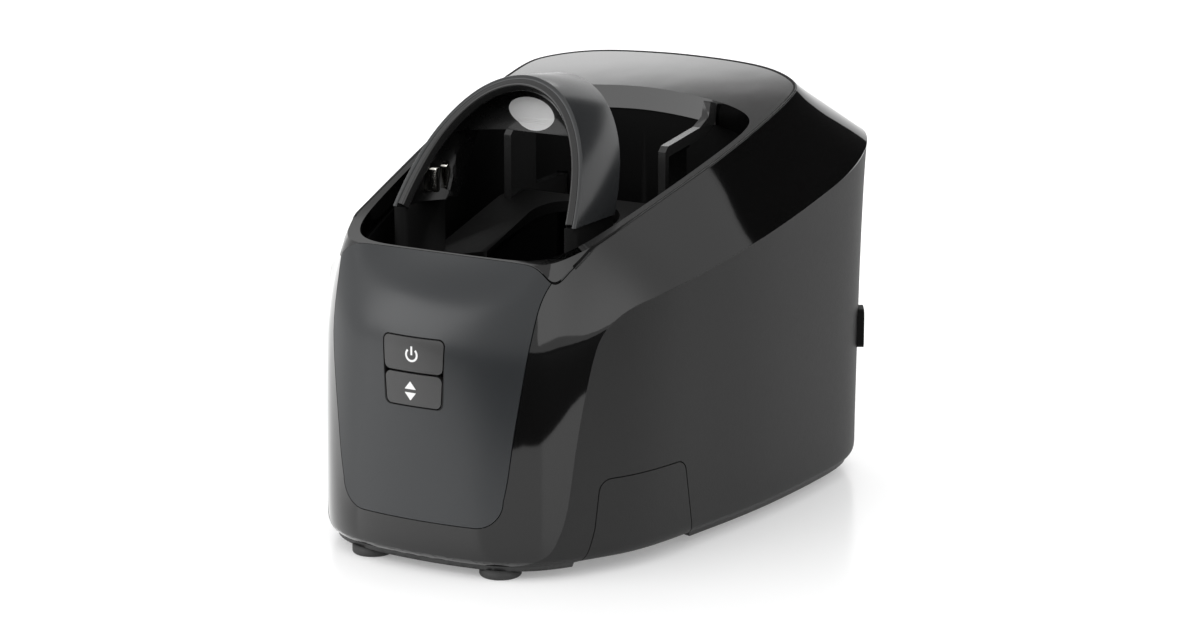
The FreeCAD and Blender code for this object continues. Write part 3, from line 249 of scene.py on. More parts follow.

# %% [markdown]
# ## Painted shade round the buttons
#
# The two buttons share one rounded field. Round it runs a dark line, the gap between the keys
# and the panel with its unlit edges. The gap itself is in the mechanical model; the shade on
# its edges is painted on as a near-black band: the distance to a rounded rectangle in the XZ
# plane picks the plastic that lies within a fraction of a millimetre of it.

# %% Painted gap shade at the button field


def field_distance(x, z, middle_z, half_wide, half_high, radius):
    """Signed distance to a rounded rectangle in the XZ plane, in the middle of X."""
    beside = x.math("ABSOLUTE") - (half_wide - radius)
    above = (z - middle_z).math("ABSOLUTE") - (half_high - radius)
    outside_x, outside_z = beside.math("MAXIMUM", 0.0), above.math("MAXIMUM", 0.0)
    corner = (outside_x * outside_x + outside_z * outside_z).math("SQRT")
    return corner + beside.math("MAXIMUM", above).math("MINIMUM", 0.0) - radius


field_radius = 2.2 * MM      # at the corners of the button field
field_gap = 0.2 * MM         # from the keys to the middle of the gap round them
# The band of painted gap shade: its half width, then its near-black colour and roughness.
gap_shade_half = 0.35 * MM        # half of the dark line's width
gap_shade_level, gap_shade_roughness = 0.0004, 0.9


def gap_shaded_plastic(name, level, roughness, warmth=0.0):
    """Satin plastic with painted shade, near black, along the button field's edge."""
    shader = Shader(name, IOR=1.49)
    x, _, z = shader.split(shader.place)
    (_, _, low_z), (foot_x, _, _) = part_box("lift_button")
    _, (top_x, _, high_z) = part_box("power_button")
    middle_z, half_high = (low_z + high_z) / 2, (high_z - low_z) / 2
    half_wide = (top_x + foot_x) / 2 + field_gap
    # The field narrows towards its foot, so X is stretched there to make it a rectangle.
    lean = (z - middle_z) * ((top_x - foot_x) / (2 * half_high))
    spread = x * half_wide / (lean + half_wide)
    away = field_distance(spread, z, middle_z, half_wide, half_high + field_gap, field_radius)
    # line is the share of painted gap shade, near black, along the field's edge.
    line = 1 - away.math("ABSOLUTE").ramp(gap_shade_half * 0.7, gap_shade_half)
    slow = shader.blotches()
    shader.set("Base Color", shader.mix(line, tinted(shader, slow, level, warmth),
                                        grey(gap_shade_level)))
    shader.set("Roughness",
               (slow - 0.5) * 0.05 + roughness + line * (gap_shade_roughness - roughness))
    shader.bump(shader.grain(2600.0), 0.35, 0.02 * MM)
    return shader.material


# %% [markdown]
# ## One moulding with two finishes
#
# The housing is a single moulding. Its bevel and its front pillars come out of a polished
# part of the mould and its side walls out of a textured part, so the border between the two
# finishes has no gap. It runs along the crease from the rear and then sweeps down to the
# foot behind each front pillar. A curve gives the border's height at each distance behind
# the front, and whatever lies below it is textured. Both finishes share one shader, whose
# colour, roughness and bump follow that mask.

# %% Where the textured walls end
front_y = cad_box[0][1]
run_scale = 0.25             # metres behind the front that the curve covers
rise_scale = 0.15            # metres above the table that it covers
border_blend = 0.2 * MM      # half of the width over which one finish turns into the other
# Millimetres behind the front and above the table.
border = [(0.0, 0.0), (8.5, 5.4), (14.5, 9.8), (17.5, 15.7), (20.0, 24.0), (22.3, 40.6),
          (24.2, 52.5), (26.8, 65.7), (29.6, 77.4), (32.4, 85.0), (37.5, 91.0), (43.5, 94.6),
          (52.5, 97.0), (69.5, 100.1), (88.5, 103.7), (139.5, 113.4), (162.5, 117.8),
          (182.5, 122.4), (205.0, 129.6), (225.0, 133.7)]


def border_height(shader, run):
    """Float curve from the distance behind the front to the height where the texture ends."""
    curve = shader.tree.nodes.new("ShaderNodeFloatCurve")
    points = curve.mapping.curves[0].points
    stations = [(along * MM / run_scale, up * MM / rise_scale) for along, up in border]
    points[0].location = stations[0]
    points[-1].location = stations[-1]
    for station in stations[1:-1]:
        points.new(*station)
    for point in points:
        point.handle_type = "AUTO_CLAMPED"
    curve.mapping.update()
    shader.tree.links.new((run * (1 / run_scale)).socket, curve.inputs["Value"])
    return Value(shader, curve.outputs[0]) * rise_scale


def housing_finish(name):
    """Piano gloss above the border and moulded texture below it, in one shader."""
    shader = Shader(name, IOR=1.28, Coat_IOR=1.36, Coat_Roughness=gloss_roughness)
    _, y, z = shader.split(shader.place)
    border_z = border_height(shader, y - front_y)
    textured = (border_z - z).ramp(-border_blend, border_blend)
    slow, fine = shader.blotches(), shader.specks()
    shader.set("Base Color", shader.mix(textured, tinted(shader, slow, gloss_level),
                                        tinted(shader, slow, texture_level)))
    shader.set("Coat Weight", 1 - textured)
    drift = (slow - 0.5) * 0.03 + (fine - 0.5) * 0.05 * textured
    shader.set("Roughness", drift + gloss_roughness
               + textured * (texture_roughness - gloss_roughness))
    shader.bump(shader.grain(1500.0) * textured, 0.3, 0.06 * MM)
    return shader.material


housing_skin = housing_finish("housing_two_finish_plastic")
satin_panel = gap_shaded_plastic("satin_graphite_panel", 0.014, 0.30, warmth=-0.12)
button_satin = gap_shaded_plastic("satin_graphite_button", 0.030, 0.30)

finishes = {
    "housing_black": housing_skin, "panel_graphite": satin_panel, "gloss_black": gloss_black,
    "inner_black": inner_black, "button_black": button_satin, "board_green": board_green,
    "pin_metal": contact_metal, "rim_grey": satin_black, "liner_grey": liner_black,
    "arm_black": satin_black, "steel": steel, "bracket_steel": steel, "brass": brass,
    "gear_white": acetal_white, "motor_can": steel, "chamber_black": chamber_black,
    "seal_rubber": rubber_black, "spray_grey": inner_black, "foot_rubber": rubber_black}
slot_of = {entry["node"]: entry["material_slot"] for entry in frame["record"]["subparts"]}
body_of = {}
for body, members in frame["record"]["behaviour"]["bodies"].items():
    for name in members:
        body_of[name] = body
for name, node in nodes.items():
    node.data.materials.clear()
    node.data.materials.append(finishes[slot_of[name]])
print("finishes:", len(finishes))

# %% [markdown]
# ## Skins that reflect cleanly
#
# The frame's meshes are loose flat triangles. On a gloss moulding each one would mirror the
# room on its own and the skin would glitter. So every outer piece is copied, its doubled
# points are merged, and it is shaded smooth except where two faces meet at an angle. The
# three polished pieces need more: their long triangles are split, and each corner's normal
# becomes the average of all faces within a few millimetres, so that the edge of a reflection
# runs across them without a kink. A subdivision surface could do that too, but it would move
# the surface off the mechanical model.

# %% A finished mesh becomes a piece


def settle(mesh, name, body, slot, *replaced, finish=None):
    """Makes a mesh a finished piece that rides on a body, in its slot's finish or its own."""
    piece = bpy.data.objects.new(name, mesh)
    scene.collection.objects.link(piece)
    if not mesh.materials:
        mesh.materials.append(finish or finishes[slot])
    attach(piece, body)
    if replaced:
        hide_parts(*replaced)
    return piece


# %% Even normals
bin_span = 1024              # more small cubes than there are along any axis
rough_steps = 3              # of a direction, from 0 to 1, where faces are gathered


def grouped(keys):
    """Numbers equal rows alike: the first row of each group, and each row's group."""
    _, first, group = np.unique(keys, axis=0, return_index=True, return_inverse=True)
    return first, group.reshape(-1)


def summed(group, values, weights):
    """Sum of weighted rows in each group."""
    return np.stack([np.bincount(group, values[:, axis] * weights)
                     for axis in range(values.shape[1])], 1)


def unit_rows(rows):
    return rows / (np.linalg.norm(rows, axis=1)[:, None] + 1e-15)


def cube_code(cells):
    """One number for each small cube, from its three indices."""
    return (cells + bin_span // 2) @ np.array([bin_span ** 2, bin_span, 1])


def rough(directions):
    return np.round(directions * rough_steps).astype(np.int64)


def even_normals(mesh, radius, limit_degrees):
    """Normals averaged within a radius, but never across a bend over the limit.

    Faces are gathered in small cubes, a group for each rough direction, and every corner
    then looks through the cubes around it.
    """
    faces, corners = len(mesh.polygons), len(mesh.loops)
    normals, centres, areas = np.empty(faces * 3), np.empty(faces * 3), np.empty(faces)
    vertex_of, places = np.empty(corners, dtype=np.int64), np.empty(len(mesh.vertices) * 3)
    mesh.polygons.foreach_get("normal", normals)
    mesh.polygons.foreach_get("center", centres)
    mesh.polygons.foreach_get("area", areas)
    mesh.loops.foreach_get("vertex_index", vertex_of)
    mesh.vertices.foreach_get("co", places)
    normals, centres, places = (a.reshape(-1, 3) for a in (normals, centres, places))
    cube = radius / 2
    cells = np.floor(centres / cube).astype(np.int64)
    first, group = grouped(np.hstack([cells, rough(normals)]))
    area = np.maximum(np.bincount(group, areas), 1e-15)
    middle = summed(group, centres, areas) / area[:, None]
    pull = summed(group, normals, areas)
    aim = unit_rows(pull)
    code = cube_code(cells[first])
    order = np.argsort(code)
    code, middle, pull, aim = code[order], middle[order], pull[order], aim[order]

    own = normals[np.repeat(np.arange(faces), 3)]
    first, group = grouped(np.hstack([vertex_of[:, None], rough(own)]))
    place = places[vertex_of[first]]
    facing_way = unit_rows(summed(group, own, np.ones(corners)))
    home = np.floor(place / cube).astype(np.int64)
    total = facing_way * 1e-12
    limit = math.cos(math.radians(limit_degrees))
    for step in np.ndindex(5, 5, 5):
        wanted = cube_code(home + np.array(step) - 2)
        low, high = np.searchsorted(code, wanted), np.searchsorted(code, wanted, "right")
        for extra in range((high - low).max()):
            here = np.flatnonzero(low + extra < high)
            there = low[here] + extra
            away = ((middle[there] - place[here]) ** 2).sum(1) / radius ** 2
            fits = (away < 1) & ((aim[there] * facing_way[here]).sum(1) > limit)
            here, there, away = here[fits], there[fits], away[fits]
            total[here] += pull[there] * ((1 - away) ** 2)[:, None]
    mesh.normals_split_custom_set(unit_rows(total)[group].tolist())


# %% The draft of the cover's inner wall
top_slope = 0.26             # rise of the sloping top per unit of length
draft_degrees = 10.0
draft_depth = 9 * MM         # below the top edge, where the lean reaches its full measure


def top_edge_height(y):
    """Height of the sloping top at a distance along Y, from the cover's rear end."""
    _, (_, rear, top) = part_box("top_cover")
    return top - (rear - y) * top_slope


def draft_inner_wall(shell):
    """Leans the cover's rear inner wall inwards below its top edge, as a mould's draft does."""
    rise = math.tan(math.radians(draft_degrees))
    shell.normal_update()
    moves = []
    for vertex in shell.verts:
        walls = [face.normal for face in vertex.link_faces if abs(face.normal.z) < 0.35]
        if not walls or vertex.co.y < 0:
            continue
        wall = sum(walls, Vector()).normalized()
        depth = min(top_edge_height(vertex.co.y) - vertex.co.z, draft_depth)
        if wall.y < -0.1 and depth > 0:
            moves.append((vertex, Vector((wall.x, wall.y, 0)) * depth * rise))
    for vertex, move in moves:
        vertex.co += move
    print("drafted points:", len(moves))


# %% Smooth copies of the outer pieces
same_point = 0.002 * MM      # points nearer than this are merged
sliver = 0.001 * MM          # edges shorter than this are dissolved
sharp_degrees = 32.0         # a plain piece has a sharp edge where it bends by more
polished_nodes = ["main_housing", "front_panel", "top_cover"]
polished_edge = 4.5 * MM     # longest edge of a polished piece
polished_reach = 8 * MM      # over which its normals are averaged
polished_bend = 20.0         # degrees that they are never averaged across


def merged_shell(node_name):
    """A node's mesh as one connected surface, ready to edit."""
    shell = bmesh.new()
    shell.from_mesh(nodes[node_name].data)
    bmesh.ops.remove_doubles(shell, verts=shell.verts, dist=same_point)
    return shell


def split_long_edges(shell, longest):
    for _ in range(5):
        long = [edge for edge in shell.edges if edge.calc_length() > longest]
        if not long:
            break
        bmesh.ops.subdivide_edges(shell, edges=long, cuts=1)
        bmesh.ops.triangulate(shell, faces=shell.faces)


def smooth_skin(node_name):
    """A merged, smoothly shaded copy, which has even normals where the piece is polished."""
    polished = node_name in polished_nodes
    mesh = nodes[node_name].data.copy()
    mesh.name = node_name + "_skin"
    shell = merged_shell(node_name)
    bmesh.ops.dissolve_degenerate(shell, edges=shell.edges, dist=sliver)
    if node_name == "top_cover":
        draft_inner_wall(shell)
    if polished:
        split_long_edges(shell, polished_edge)
    shell.to_mesh(mesh)
    shell.free()
    mesh.shade_smooth()
    if polished:
        even_normals(mesh, polished_reach, polished_bend)
    else:
        mesh.set_sharp_from_angle(angle=math.radians(sharp_degrees))
    return settle(mesh, node_name + "_skin", body_of[node_name], slot_of[node_name], node_name)


outer_nodes = ["main_housing", "front_panel", "top_cover", "inner_well", "power_button",
               "lift_button", "power_inlet", "holder_liner", "holder_frame", "lift_arm_right",
               "lift_arm_left", "release_tab_right", "release_tab_left", "chamber_tray",
               "splash_collar", "spray_plate", "foot_front_right", "foot_front_left",
               "foot_rear_right", "foot_rear_left", "contact_pins"]
skins = [smooth_skin(name) for name in outer_nodes]
print("skins:", len(skins), "faces:", sum(len(skin.data.polygons) for skin in skins))

# %% [markdown]
# ## The dark line round the top cover
# The gap round the cover is a third of a millimetre wide, and its rounded edges make it look
# twice as wide. Cutting those edges into both meshes would need new points along the whole
# gap. A thin black tube along the cover's own outer edge paints the gap's shade instead, with
# one row of points, and it stops short of the front corners, where the cover ends. No seal is
# there on the real station. The housing's rounded edge beside the dark tube catches the light
# as a pale thread, so it is a second, glossy row.

# %% The dark tube for the gap's shade along the cover's outer edge
# Size and place of the near-black tube that stands for the shade in the cover's gap.
cover_shade_half_width, cover_shade_half_height = 0.7 * MM, 0.3 * MM
cover_shade_offset, cover_shade_sink = 0.17 * MM, 0.2 * MM
cover_shade_stop = 8 * MM        # distance from the cover's front end
edge_half_width, edge_half_height = 0.4 * MM, 0.28 * MM
edge_offset, edge_sink = 1.15 * MM, 0.16 * MM
upright = 0.2                # a wall's normal has a smaller Z than this
upward = 0.3                 # and a top's normal a larger one


def outer_edge(node_name, stop):
    """Points and surface normals, in order, where a cover's outer wall meets its top."""
    shell = merged_shell(node_name)
    shell.normal_update()
    (left, front, _), (right, rear, _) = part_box(node_name)
    middle = Vector(((left + right) / 2, (front + rear) / 2, 0))
    joined, tops = {}, {}
    for edge in shell.edges:
        centre = (edge.verts[0].co + edge.verts[1].co) / 2
        if len(edge.link_faces) != 2 or centre.y < front + stop:
            continue
        wall, top = sorted((face.normal for face in edge.link_faces), key=lambda n: n.z)
        outward = wall.x * (centre.x - middle.x) + wall.y * (centre.y - middle.y)
        if abs(wall.z) < upright and top.z > upward and outward > 0:
            for vertex, other in (edge.verts, reversed(edge.verts)):
                joined.setdefault(vertex, []).append(other)
                tops[vertex] = tops.get(vertex, Vector()) + top
    ends = [vertex for vertex, near in joined.items() if len(near) == 1]
    print(node_name, "outer edge points:", len(joined), "ends:", len(ends))
    here = min(ends, key=lambda vertex: vertex.co.x)
    row, seen = [], set()
    while here:
        seen.add(here)
        row.append((here.co.copy(), tops[here].normalized()))
        here = next((vertex for vertex in joined[here] if vertex not in seen), None)
    shell.free()
    return row


def sides(row):
    """The direction along the surface, away from the cover, at each point of a row."""
    last = len(row) - 1
    return [normal.cross(row[min(i + 1, last)][0] - row[max(i - 1, 0)][0]).normalized()
            for i, (_, normal) in enumerate(row)]


def flat_tube(name, row, half_width, half_height, sink, corners=10):
    """A thin closed tube along a row of points, flattened along the surface normals."""
    tube = bmesh.new()
    rings = []
    for (point, normal), side in zip(row, sides(row)):
        centre = point - normal * sink
        rings.append([tube.verts.new(centre + side * half_width * math.cos(turn)
                                     + normal * half_height * math.sin(turn))
                      for turn in np.linspace(0, 2 * math.pi, corners, endpoint=False)])
    for low, high in zip(rings, rings[1:]):
        for i in range(corners):
            j = (i + 1) % corners
            tube.faces.new((low[i], low[j], high[j], high[i]))
    tube.faces.new(rings[0])
    tube.faces.new(rings[-1])
    bmesh.ops.recalc_face_normals(tube, faces=tube.faces)
    mesh = bpy.data.meshes.new(name)
    tube.to_mesh(mesh)
    tube.free()
    mesh.shade_smooth()
    return mesh


def moved_out(row, distance):
    """The same row, moved sideways along the surface, away from the cover."""
    return [(point + side * distance, normal)
            for (point, normal), side in zip(row, sides(row))]


def surface_tree(node_name):
    """A search tree over the faces of a node."""
    surface = nodes[node_name].data
    return BVHTree.FromPolygons([vertex.co for vertex in surface.vertices],
                                [face.vertices[:] for face in surface.polygons])


def laid_on(row, node_name):
    """The row's nearest points on a node's surface, with the surface's normals there."""
    tree = surface_tree(node_name)
    return [tree.find_nearest(point)[:2] for point, _ in row]


cover_row = outer_edge("top_cover", cover_shade_stop)
# A near-black tube painted in as the shade in the gap round the cover.
settle(flat_tube("cover_gap_shade", moved_out(cover_row, cover_shade_offset), cover_shade_half_width, cover_shade_half_height,
            cover_shade_sink), "cover_gap_shade", body_of["top_cover"], slot_of["top_cover"],
       finish=inner_black)
housing_row = laid_on(moved_out(cover_row, edge_offset), "main_housing")
settle(flat_tube("housing_edge", housing_row, edge_half_width, edge_half_height, edge_sink),
       "housing_edge", body_of["main_housing"], slot_of["main_housing"], finish=liner_black)
print("seal points:", len(cover_row), "from", cover_row[0][0][:], "to", cover_row[-1][0][:])

# %% [markdown]
# ## The arched holder
#
# The holder is a hoop that leans back: a satin band outside, a rounded bead along its front
# edge and a dark scoop within. All three follow one arch, so the arch is worked out once, as
# a smooth curve through half a dozen stations. The band tapers towards its rear edge, which
# a plain sweep can't do, so it is built point by point. The bead keeps its section all the
# way and is swept by Geometry Nodes.

# %% The arch
hood_low, hood_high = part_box("holder_hood")
hood_foot, hood_top = hood_low[2], hood_high[2]
rim_lean = 0.655             # run of the hoop's plane towards the rear per unit of height
hood_depth = 28 * MM
hood_wall = 1.6 * MM
hood_corner = 0.5 * MM       # radius along the band's edges
rim_groove = 0.3 * MM        # between the band and the bead
rim_width = 2.9 * MM
rim_depth = 4.0 * MM
rim_corner = 0.8 * MM
rear_drop = 3.0 * MM         # of the band's crown, from its front edge to its rear one
arch_foot_y = hood_low[1]
arch_stations = 120
crease_degrees = 50          # band and bead have a sharp edge where they bend by more
# Half the arch in millimetres, from its crown down: beside the middle and above the table.
arch_half = [(0.0, 165.2), (9.46, 163.6), (18.45, 158.9), (26.31, 151.0), (32.08, 141.4),
             (35.69, 131.0), (37.61, 122.0), (38.82, 112.0)]
arch_base_z = arch_half[-1][1] * MM
print("arch:", round(2 * arch_half[-1][0], 1), "mm wide at its base")


def arch_outline():
    """Even points along the arch in the XZ plane, from its right foot over to its left.

    The curve is a natural cubic spline: its second derivatives at the stations solve one
    linear system, and every point then comes from the two stations beside it.
    """
    half = np.array(arch_half) * MM
    points = np.vstack([half[::-1], half[1:] * [-1, 1]])
    steps = np.concatenate([[0], np.cumsum(np.linalg.norm(np.diff(points, axis=0), axis=1))])
    system = np.zeros((len(points), len(points)))
    change = np.zeros_like(points)
    gaps = np.diff(steps)
    system[0, 0] = system[-1, -1] = 1
    for i in range(1, len(points) - 1):
        system[i, i - 1:i + 2] = gaps[i - 1] / 6, (gaps[i - 1] + gaps[i]) / 3, gaps[i] / 6
        change[i] = ((points[i + 1] - points[i]) / gaps[i]
                     - (points[i] - points[i - 1]) / gaps[i - 1])
    second = np.linalg.solve(system, change)
    dense = np.linspace(0, steps[-1], 1200)
    index = np.clip(np.searchsorted(steps, dense) - 1, 0, len(gaps) - 1)
    gap = gaps[index][:, None]
    after = (steps[index + 1] - dense)[:, None]
    before = (dense - steps[index])[:, None]
    line = (second[index] * after ** 3 + second[index + 1] * before ** 3) / (6 * gap)
    line += (points[index] / gap - second[index] * gap / 6) * after
    line += (points[index + 1] / gap - second[index + 1] * gap / 6) * before
    line = line[line[:, 1] >= hood_foot]
    pick = np.linspace(0, len(line) - 1, arch_stations).round().astype(int)
    return line[pick]


def arch_ring(outline, inset, run):
    """The arch moved inwards by an inset and back by a run, as points in space."""
    drop = rear_drop * run / hood_depth
    x, z = outline[:, 0], outline[:, 1]
    z = z - drop * (z - arch_base_z) / (hood_top - arch_base_z)
    tangent = np.gradient(np.stack([x, z], 1), axis=0)
    tangent /= np.linalg.norm(tangent, axis=1)[:, None]
    x = x - tangent[:, 1] * inset
    z = np.maximum(z + tangent[:, 0] * inset, hood_foot)
    z[[0, -1]] = hood_foot
    y = arch_foot_y + (z - hood_foot) * rim_lean + run
    return np.stack([x, y, z], 1)


# %% The band, point by point


def rounded_section(low, high, radius, corner_steps=4):
    """Points round a rectangle with rounded corners, as (inset, run) pairs."""
    section = []
    for centre, start in (((high[0] - radius, high[1] - radius), 0),
                          ((low[0] + radius, high[1] - radius), 90),
                          ((low[0] + radius, low[1] + radius), 180),
                          ((high[0] - radius, low[1] + radius), 270)):
        for step in range(corner_steps + 1):
            turn = math.radians(start + 90 * step / corner_steps)
            section.append((centre[0] + radius * math.cos(turn),
                            centre[1] + radius * math.sin(turn)))
    return section


def arch_band(name, section):
    """A closed band that carries a section of (inset, run) pairs along the arch."""
    outline = arch_outline()
    rings = [arch_ring(outline, inset, run) for inset, run in section]
    stations, count = len(outline), len(section)
    points = np.stack(rings, 1).reshape(-1, 3)
    faces = []
    for i in range(stations - 1):
        for k in range(count):
            after = (k + 1) % count
            faces.append((i * count + k, i * count + after,
                          (i + 1) * count + after, (i + 1) * count + k))
    faces.append(tuple(reversed(range(count))))
    faces.append(tuple((stations - 1) * count + k for k in range(count)))
    mesh = bpy.data.meshes.new(name)
    mesh.from_pydata(points.tolist(), [], faces)
    band = bmesh.new()
    band.from_mesh(mesh)
    bmesh.ops.recalc_face_normals(band, faces=band.faces)
    band.to_mesh(mesh)
    band.free()
    mesh.shade_smooth()
    mesh.set_sharp_from_angle(angle=math.radians(crease_degrees))
    return mesh


hood_section = rounded_section((0.0, 0.0), (hood_wall, hood_depth), hood_corner)
hood = settle(arch_band("hood_band", hood_section), "hood_band", "holder", "gloss_black",
              "holder_hood", finish=hood_satin)
print("hood points:", len(hood.data.vertices))

# %% The bead, swept by Geometry Nodes


def bead_tree():
    """Geometry Nodes tree that sweeps a rounded bar along the object's edges."""
    tree = bpy.data.node_groups.new("bead_sweep", "GeometryNodeTree")
    face = tree.interface
    face.new_socket("Geometry", in_out="INPUT", socket_type="NodeSocketGeometry")
    for label in ("Bead Width", "Bead Depth", "Corner Radius"):
        face.new_socket(label, in_out="INPUT", socket_type="NodeSocketFloat")
    face.new_socket("Finish", in_out="INPUT", socket_type="NodeSocketMaterial")
    face.new_socket("Geometry", in_out="OUTPUT", socket_type="NodeSocketGeometry")
    made = {kind: tree.nodes.new(kind) for kind in (
        "NodeGroupInput", "NodeGroupOutput", "GeometryNodeMeshToCurve",
        "GeometryNodeCurvePrimitiveQuadrilateral", "GeometryNodeFilletCurve",
        "GeometryNodeCurveToMesh", "GeometryNodeRealizeInstances", "GeometryNodeSetMaterial")}
    source = made["NodeGroupInput"].outputs
    path = made["GeometryNodeMeshToCurve"]
    section = made["GeometryNodeCurvePrimitiveQuadrilateral"]
    fillet = made["GeometryNodeFilletCurve"]
    sweep = made["GeometryNodeCurveToMesh"]
    real = made["GeometryNodeRealizeInstances"]
    finish = made["GeometryNodeSetMaterial"]
    fillet.mode = "POLY"
    fillet.inputs["Count"].default_value = 4
    sweep.inputs["Fill Caps"].default_value = True
    for start, end in (
            (source["Geometry"], path.inputs["Mesh"]),
            (source["Bead Depth"], section.inputs["Height"]),
            (source["Bead Width"], section.inputs["Width"]),
            (section.outputs["Curve"], fillet.inputs["Curve"]),
            (source["Corner Radius"], fillet.inputs["Radius"]),
            (path.outputs["Curve"], sweep.inputs["Curve"]),
            (fillet.outputs["Curve"], sweep.inputs["Profile Curve"]),
            (sweep.outputs["Mesh"], real.inputs["Geometry"]),
            (real.outputs["Geometry"], finish.inputs["Geometry"]),
            (source["Finish"], finish.inputs["Material"]),
            (finish.outputs["Geometry"], made["NodeGroupOutput"].inputs["Geometry"])):
        tree.links.new(start, end)
    return tree


def grown_mesh(name, start_mesh, tree, inputs):
    """What a Geometry Nodes tree makes of a start mesh, as a plain mesh."""
    seed = bpy.data.objects.new(name + "_seed", start_mesh)
    scene.collection.objects.link(seed)
    modifier = seed.modifiers.new("grow", "NODES")
    modifier.node_group = tree
    for item in tree.interface.items_tree:
        if item.in_out == "INPUT" and item.name in inputs:
            modifier[item.identifier] = inputs[item.name]
    bpy.context.view_layer.update()
    evaluated = seed.evaluated_get(bpy.context.evaluated_depsgraph_get())
    mesh = bpy.data.meshes.new_from_object(evaluated)
    mesh.name = name
    seed.modifiers.clear()
    bpy.data.objects.remove(seed)
    return mesh


def path_mesh(name, points):
    mesh = bpy.data.meshes.new(name)
    mesh.from_pydata([tuple(point) for point in points],
                     [(i, i + 1) for i in range(len(points) - 1)], [])
    return mesh


bead_line = arch_ring(arch_outline(), hood_wall + rim_groove + rim_width / 2, rim_depth / 2)
bead = grown_mesh("rim_bead", path_mesh("bead_line", bead_line), bead_tree(),
                  {"Bead Width": rim_width, "Bead Depth": rim_depth,
                   "Corner Radius": rim_corner, "Finish": satin_black})
bead.shade_smooth()
bead.set_sharp_from_angle(angle=math.radians(crease_degrees))
settle(bead, "rim_bead", "holder", "rim_grey", "holder_rim")
print("bead points:", len(bead.vertices))

# %% [markdown]
# ## Printed symbols
#
# The two buttons carry white symbols: a broken ring with a bar for power, and two triangles
# for lifting and lowering. They are ink, so they have to follow the curved face of their
# button. Each outline is drawn flat in the XZ plane and every point of it is sent back along
# Y until it meets the button, where it becomes a film a few hundredths of a millimetre thick.

# %% Outlines, in millimetres round a symbol's centre
def arc(radius, start, end, steps):
    turns = np.radians(np.linspace(start, end, steps))
    return [(radius * math.cos(turn), radius * math.sin(turn)) for turn in turns]


def broken_ring(radius, stroke, opening):
    """A ring that is open at its top, as one closed outline."""
    first, last = 90 + opening / 2, 450 - opening / 2
    return arc(radius + stroke / 2, first, last, 40) + arc(radius - stroke / 2, last, first, 40)


def bar(width, low, high):
    return [(-width / 2, low), (width / 2, low), (width / 2, high), (-width / 2, high)]


def rounded_triangle(width, low, high, radius=0.3):
    """A triangle with rounded corners whose base is at low and whose point is at high."""
    corners = [Vector((-width / 2, low)), Vector((width / 2, low)), Vector((0, high))]
    outline = []
    for i, corner in enumerate(corners):
        before = (corners[i - 1] - corner).normalized() * radius
        after = (corners[(i + 1) % 3] - corner).normalized() * radius
        for share in (0.0, 0.25, 0.5, 0.75, 1.0):
            point = corner + before * (1 - share) ** 2 + after * share ** 2
            outline.append(tuple(point))
    return outline


# %% Ink films on the buttons
film_proud = 0.04 * MM       # how far a film stands out of its surface
film_sunk = 0.1 * MM         # and how far it reaches into it
rearward = Vector((0, 1, 0))


def film(name, outlines, centre, target):
    """Thin closed plates whose outlines are projected onto a CAD node along +Y.

    The outlines are in millimetres round the centre, which lies in front of the node.
    """
    surface = surface_tree(target)
    sheet = bmesh.new()
    for outline in outlines:
        flat = [Vector((x, z, 0)) for x, z in outline]
        front, back = [], []
        for point in flat:
            hit = surface.ray_cast(centre + Vector((point.x, 0, point.y)) * MM, rearward)[0]
            front.append(sheet.verts.new(hit - rearward * film_proud))
            back.append(sheet.verts.new(hit + rearward * film_sunk))
        for a, b, c in tessellate_polygon([flat]):
            sheet.faces.new((front[a], front[b], front[c]))
            sheet.faces.new((back[c], back[b], back[a]))
        for i in range(len(flat)):
            after = (i + 1) % len(flat)
            sheet.faces.new((front[i], back[i], back[after], front[after]))
    bmesh.ops.recalc_face_normals(sheet, faces=sheet.faces)
    mesh = bpy.data.meshes.new(name)
    sheet.to_mesh(mesh)
    sheet.free()
    mesh.materials.append(print_white)
    return mesh


stroke = 0.75
power_symbol = [broken_ring(2.2, stroke, 84), bar(stroke, -0.1, 3.0)]
pointer = rounded_triangle(4.7, 0.6, 3.45)
lift_symbol = [pointer, [(x, -z) for x, z in reversed(pointer)]]
in_front = -140.0            # Y of the symbols' centres, well clear of the buttons
for name, symbol, (x, z), button in (("power_symbol", power_symbol, (-0.3, 79.0), "power_button"),
                                     ("lift_symbol", lift_symbol, (-1.0, 66.0), "lift_button")):
    ink = film(name, symbol, Vector((x, in_front, z)) * MM, button)
    settle(ink, name, body_of[button], slot_of[button])
    print(name, "faces:", len(ink.polygons))

# %% A bare label in the hood


def ellipse(half_wide, half_high, slant_degrees, steps=48):
    """Outline of an ellipse whose right end is turned down by the slant."""
    slant = math.radians(-slant_degrees)
    points = []
    for turn in np.linspace(0, 2 * math.pi, steps, endpoint=False):
        along, across = half_wide * math.cos(turn), half_high * math.sin(turn)
        points.append((along * math.cos(slant) - across * math.sin(slant),
                       along * math.sin(slant) + across * math.cos(slant)))
    return points


# The centre is inside the hoop, behind the liner's front edge.
label = film("hood_label", [ellipse(9.0, 5.6, 14)], Vector((-3.6, -64.0, 149.4)) * MM,
             "holder_liner")
settle(label, "hood_label", "holder", slot_of["holder_liner"])
print("label faces:", len(label.polygons))

# %% [markdown]
# ## Table, light and camera
#
# A product picture like this has a small white table in a bright room. Gloss plastic shows
# where the white ends: the table's edge turns the front pillars black, and a dark board
# behind the station on the right does the same to the bevel. A soft light behind on the left
# brightens the top cover, one in front on the left the panel, and one on the right the upper
# ends of the pillars.

# %% Table and dark floor


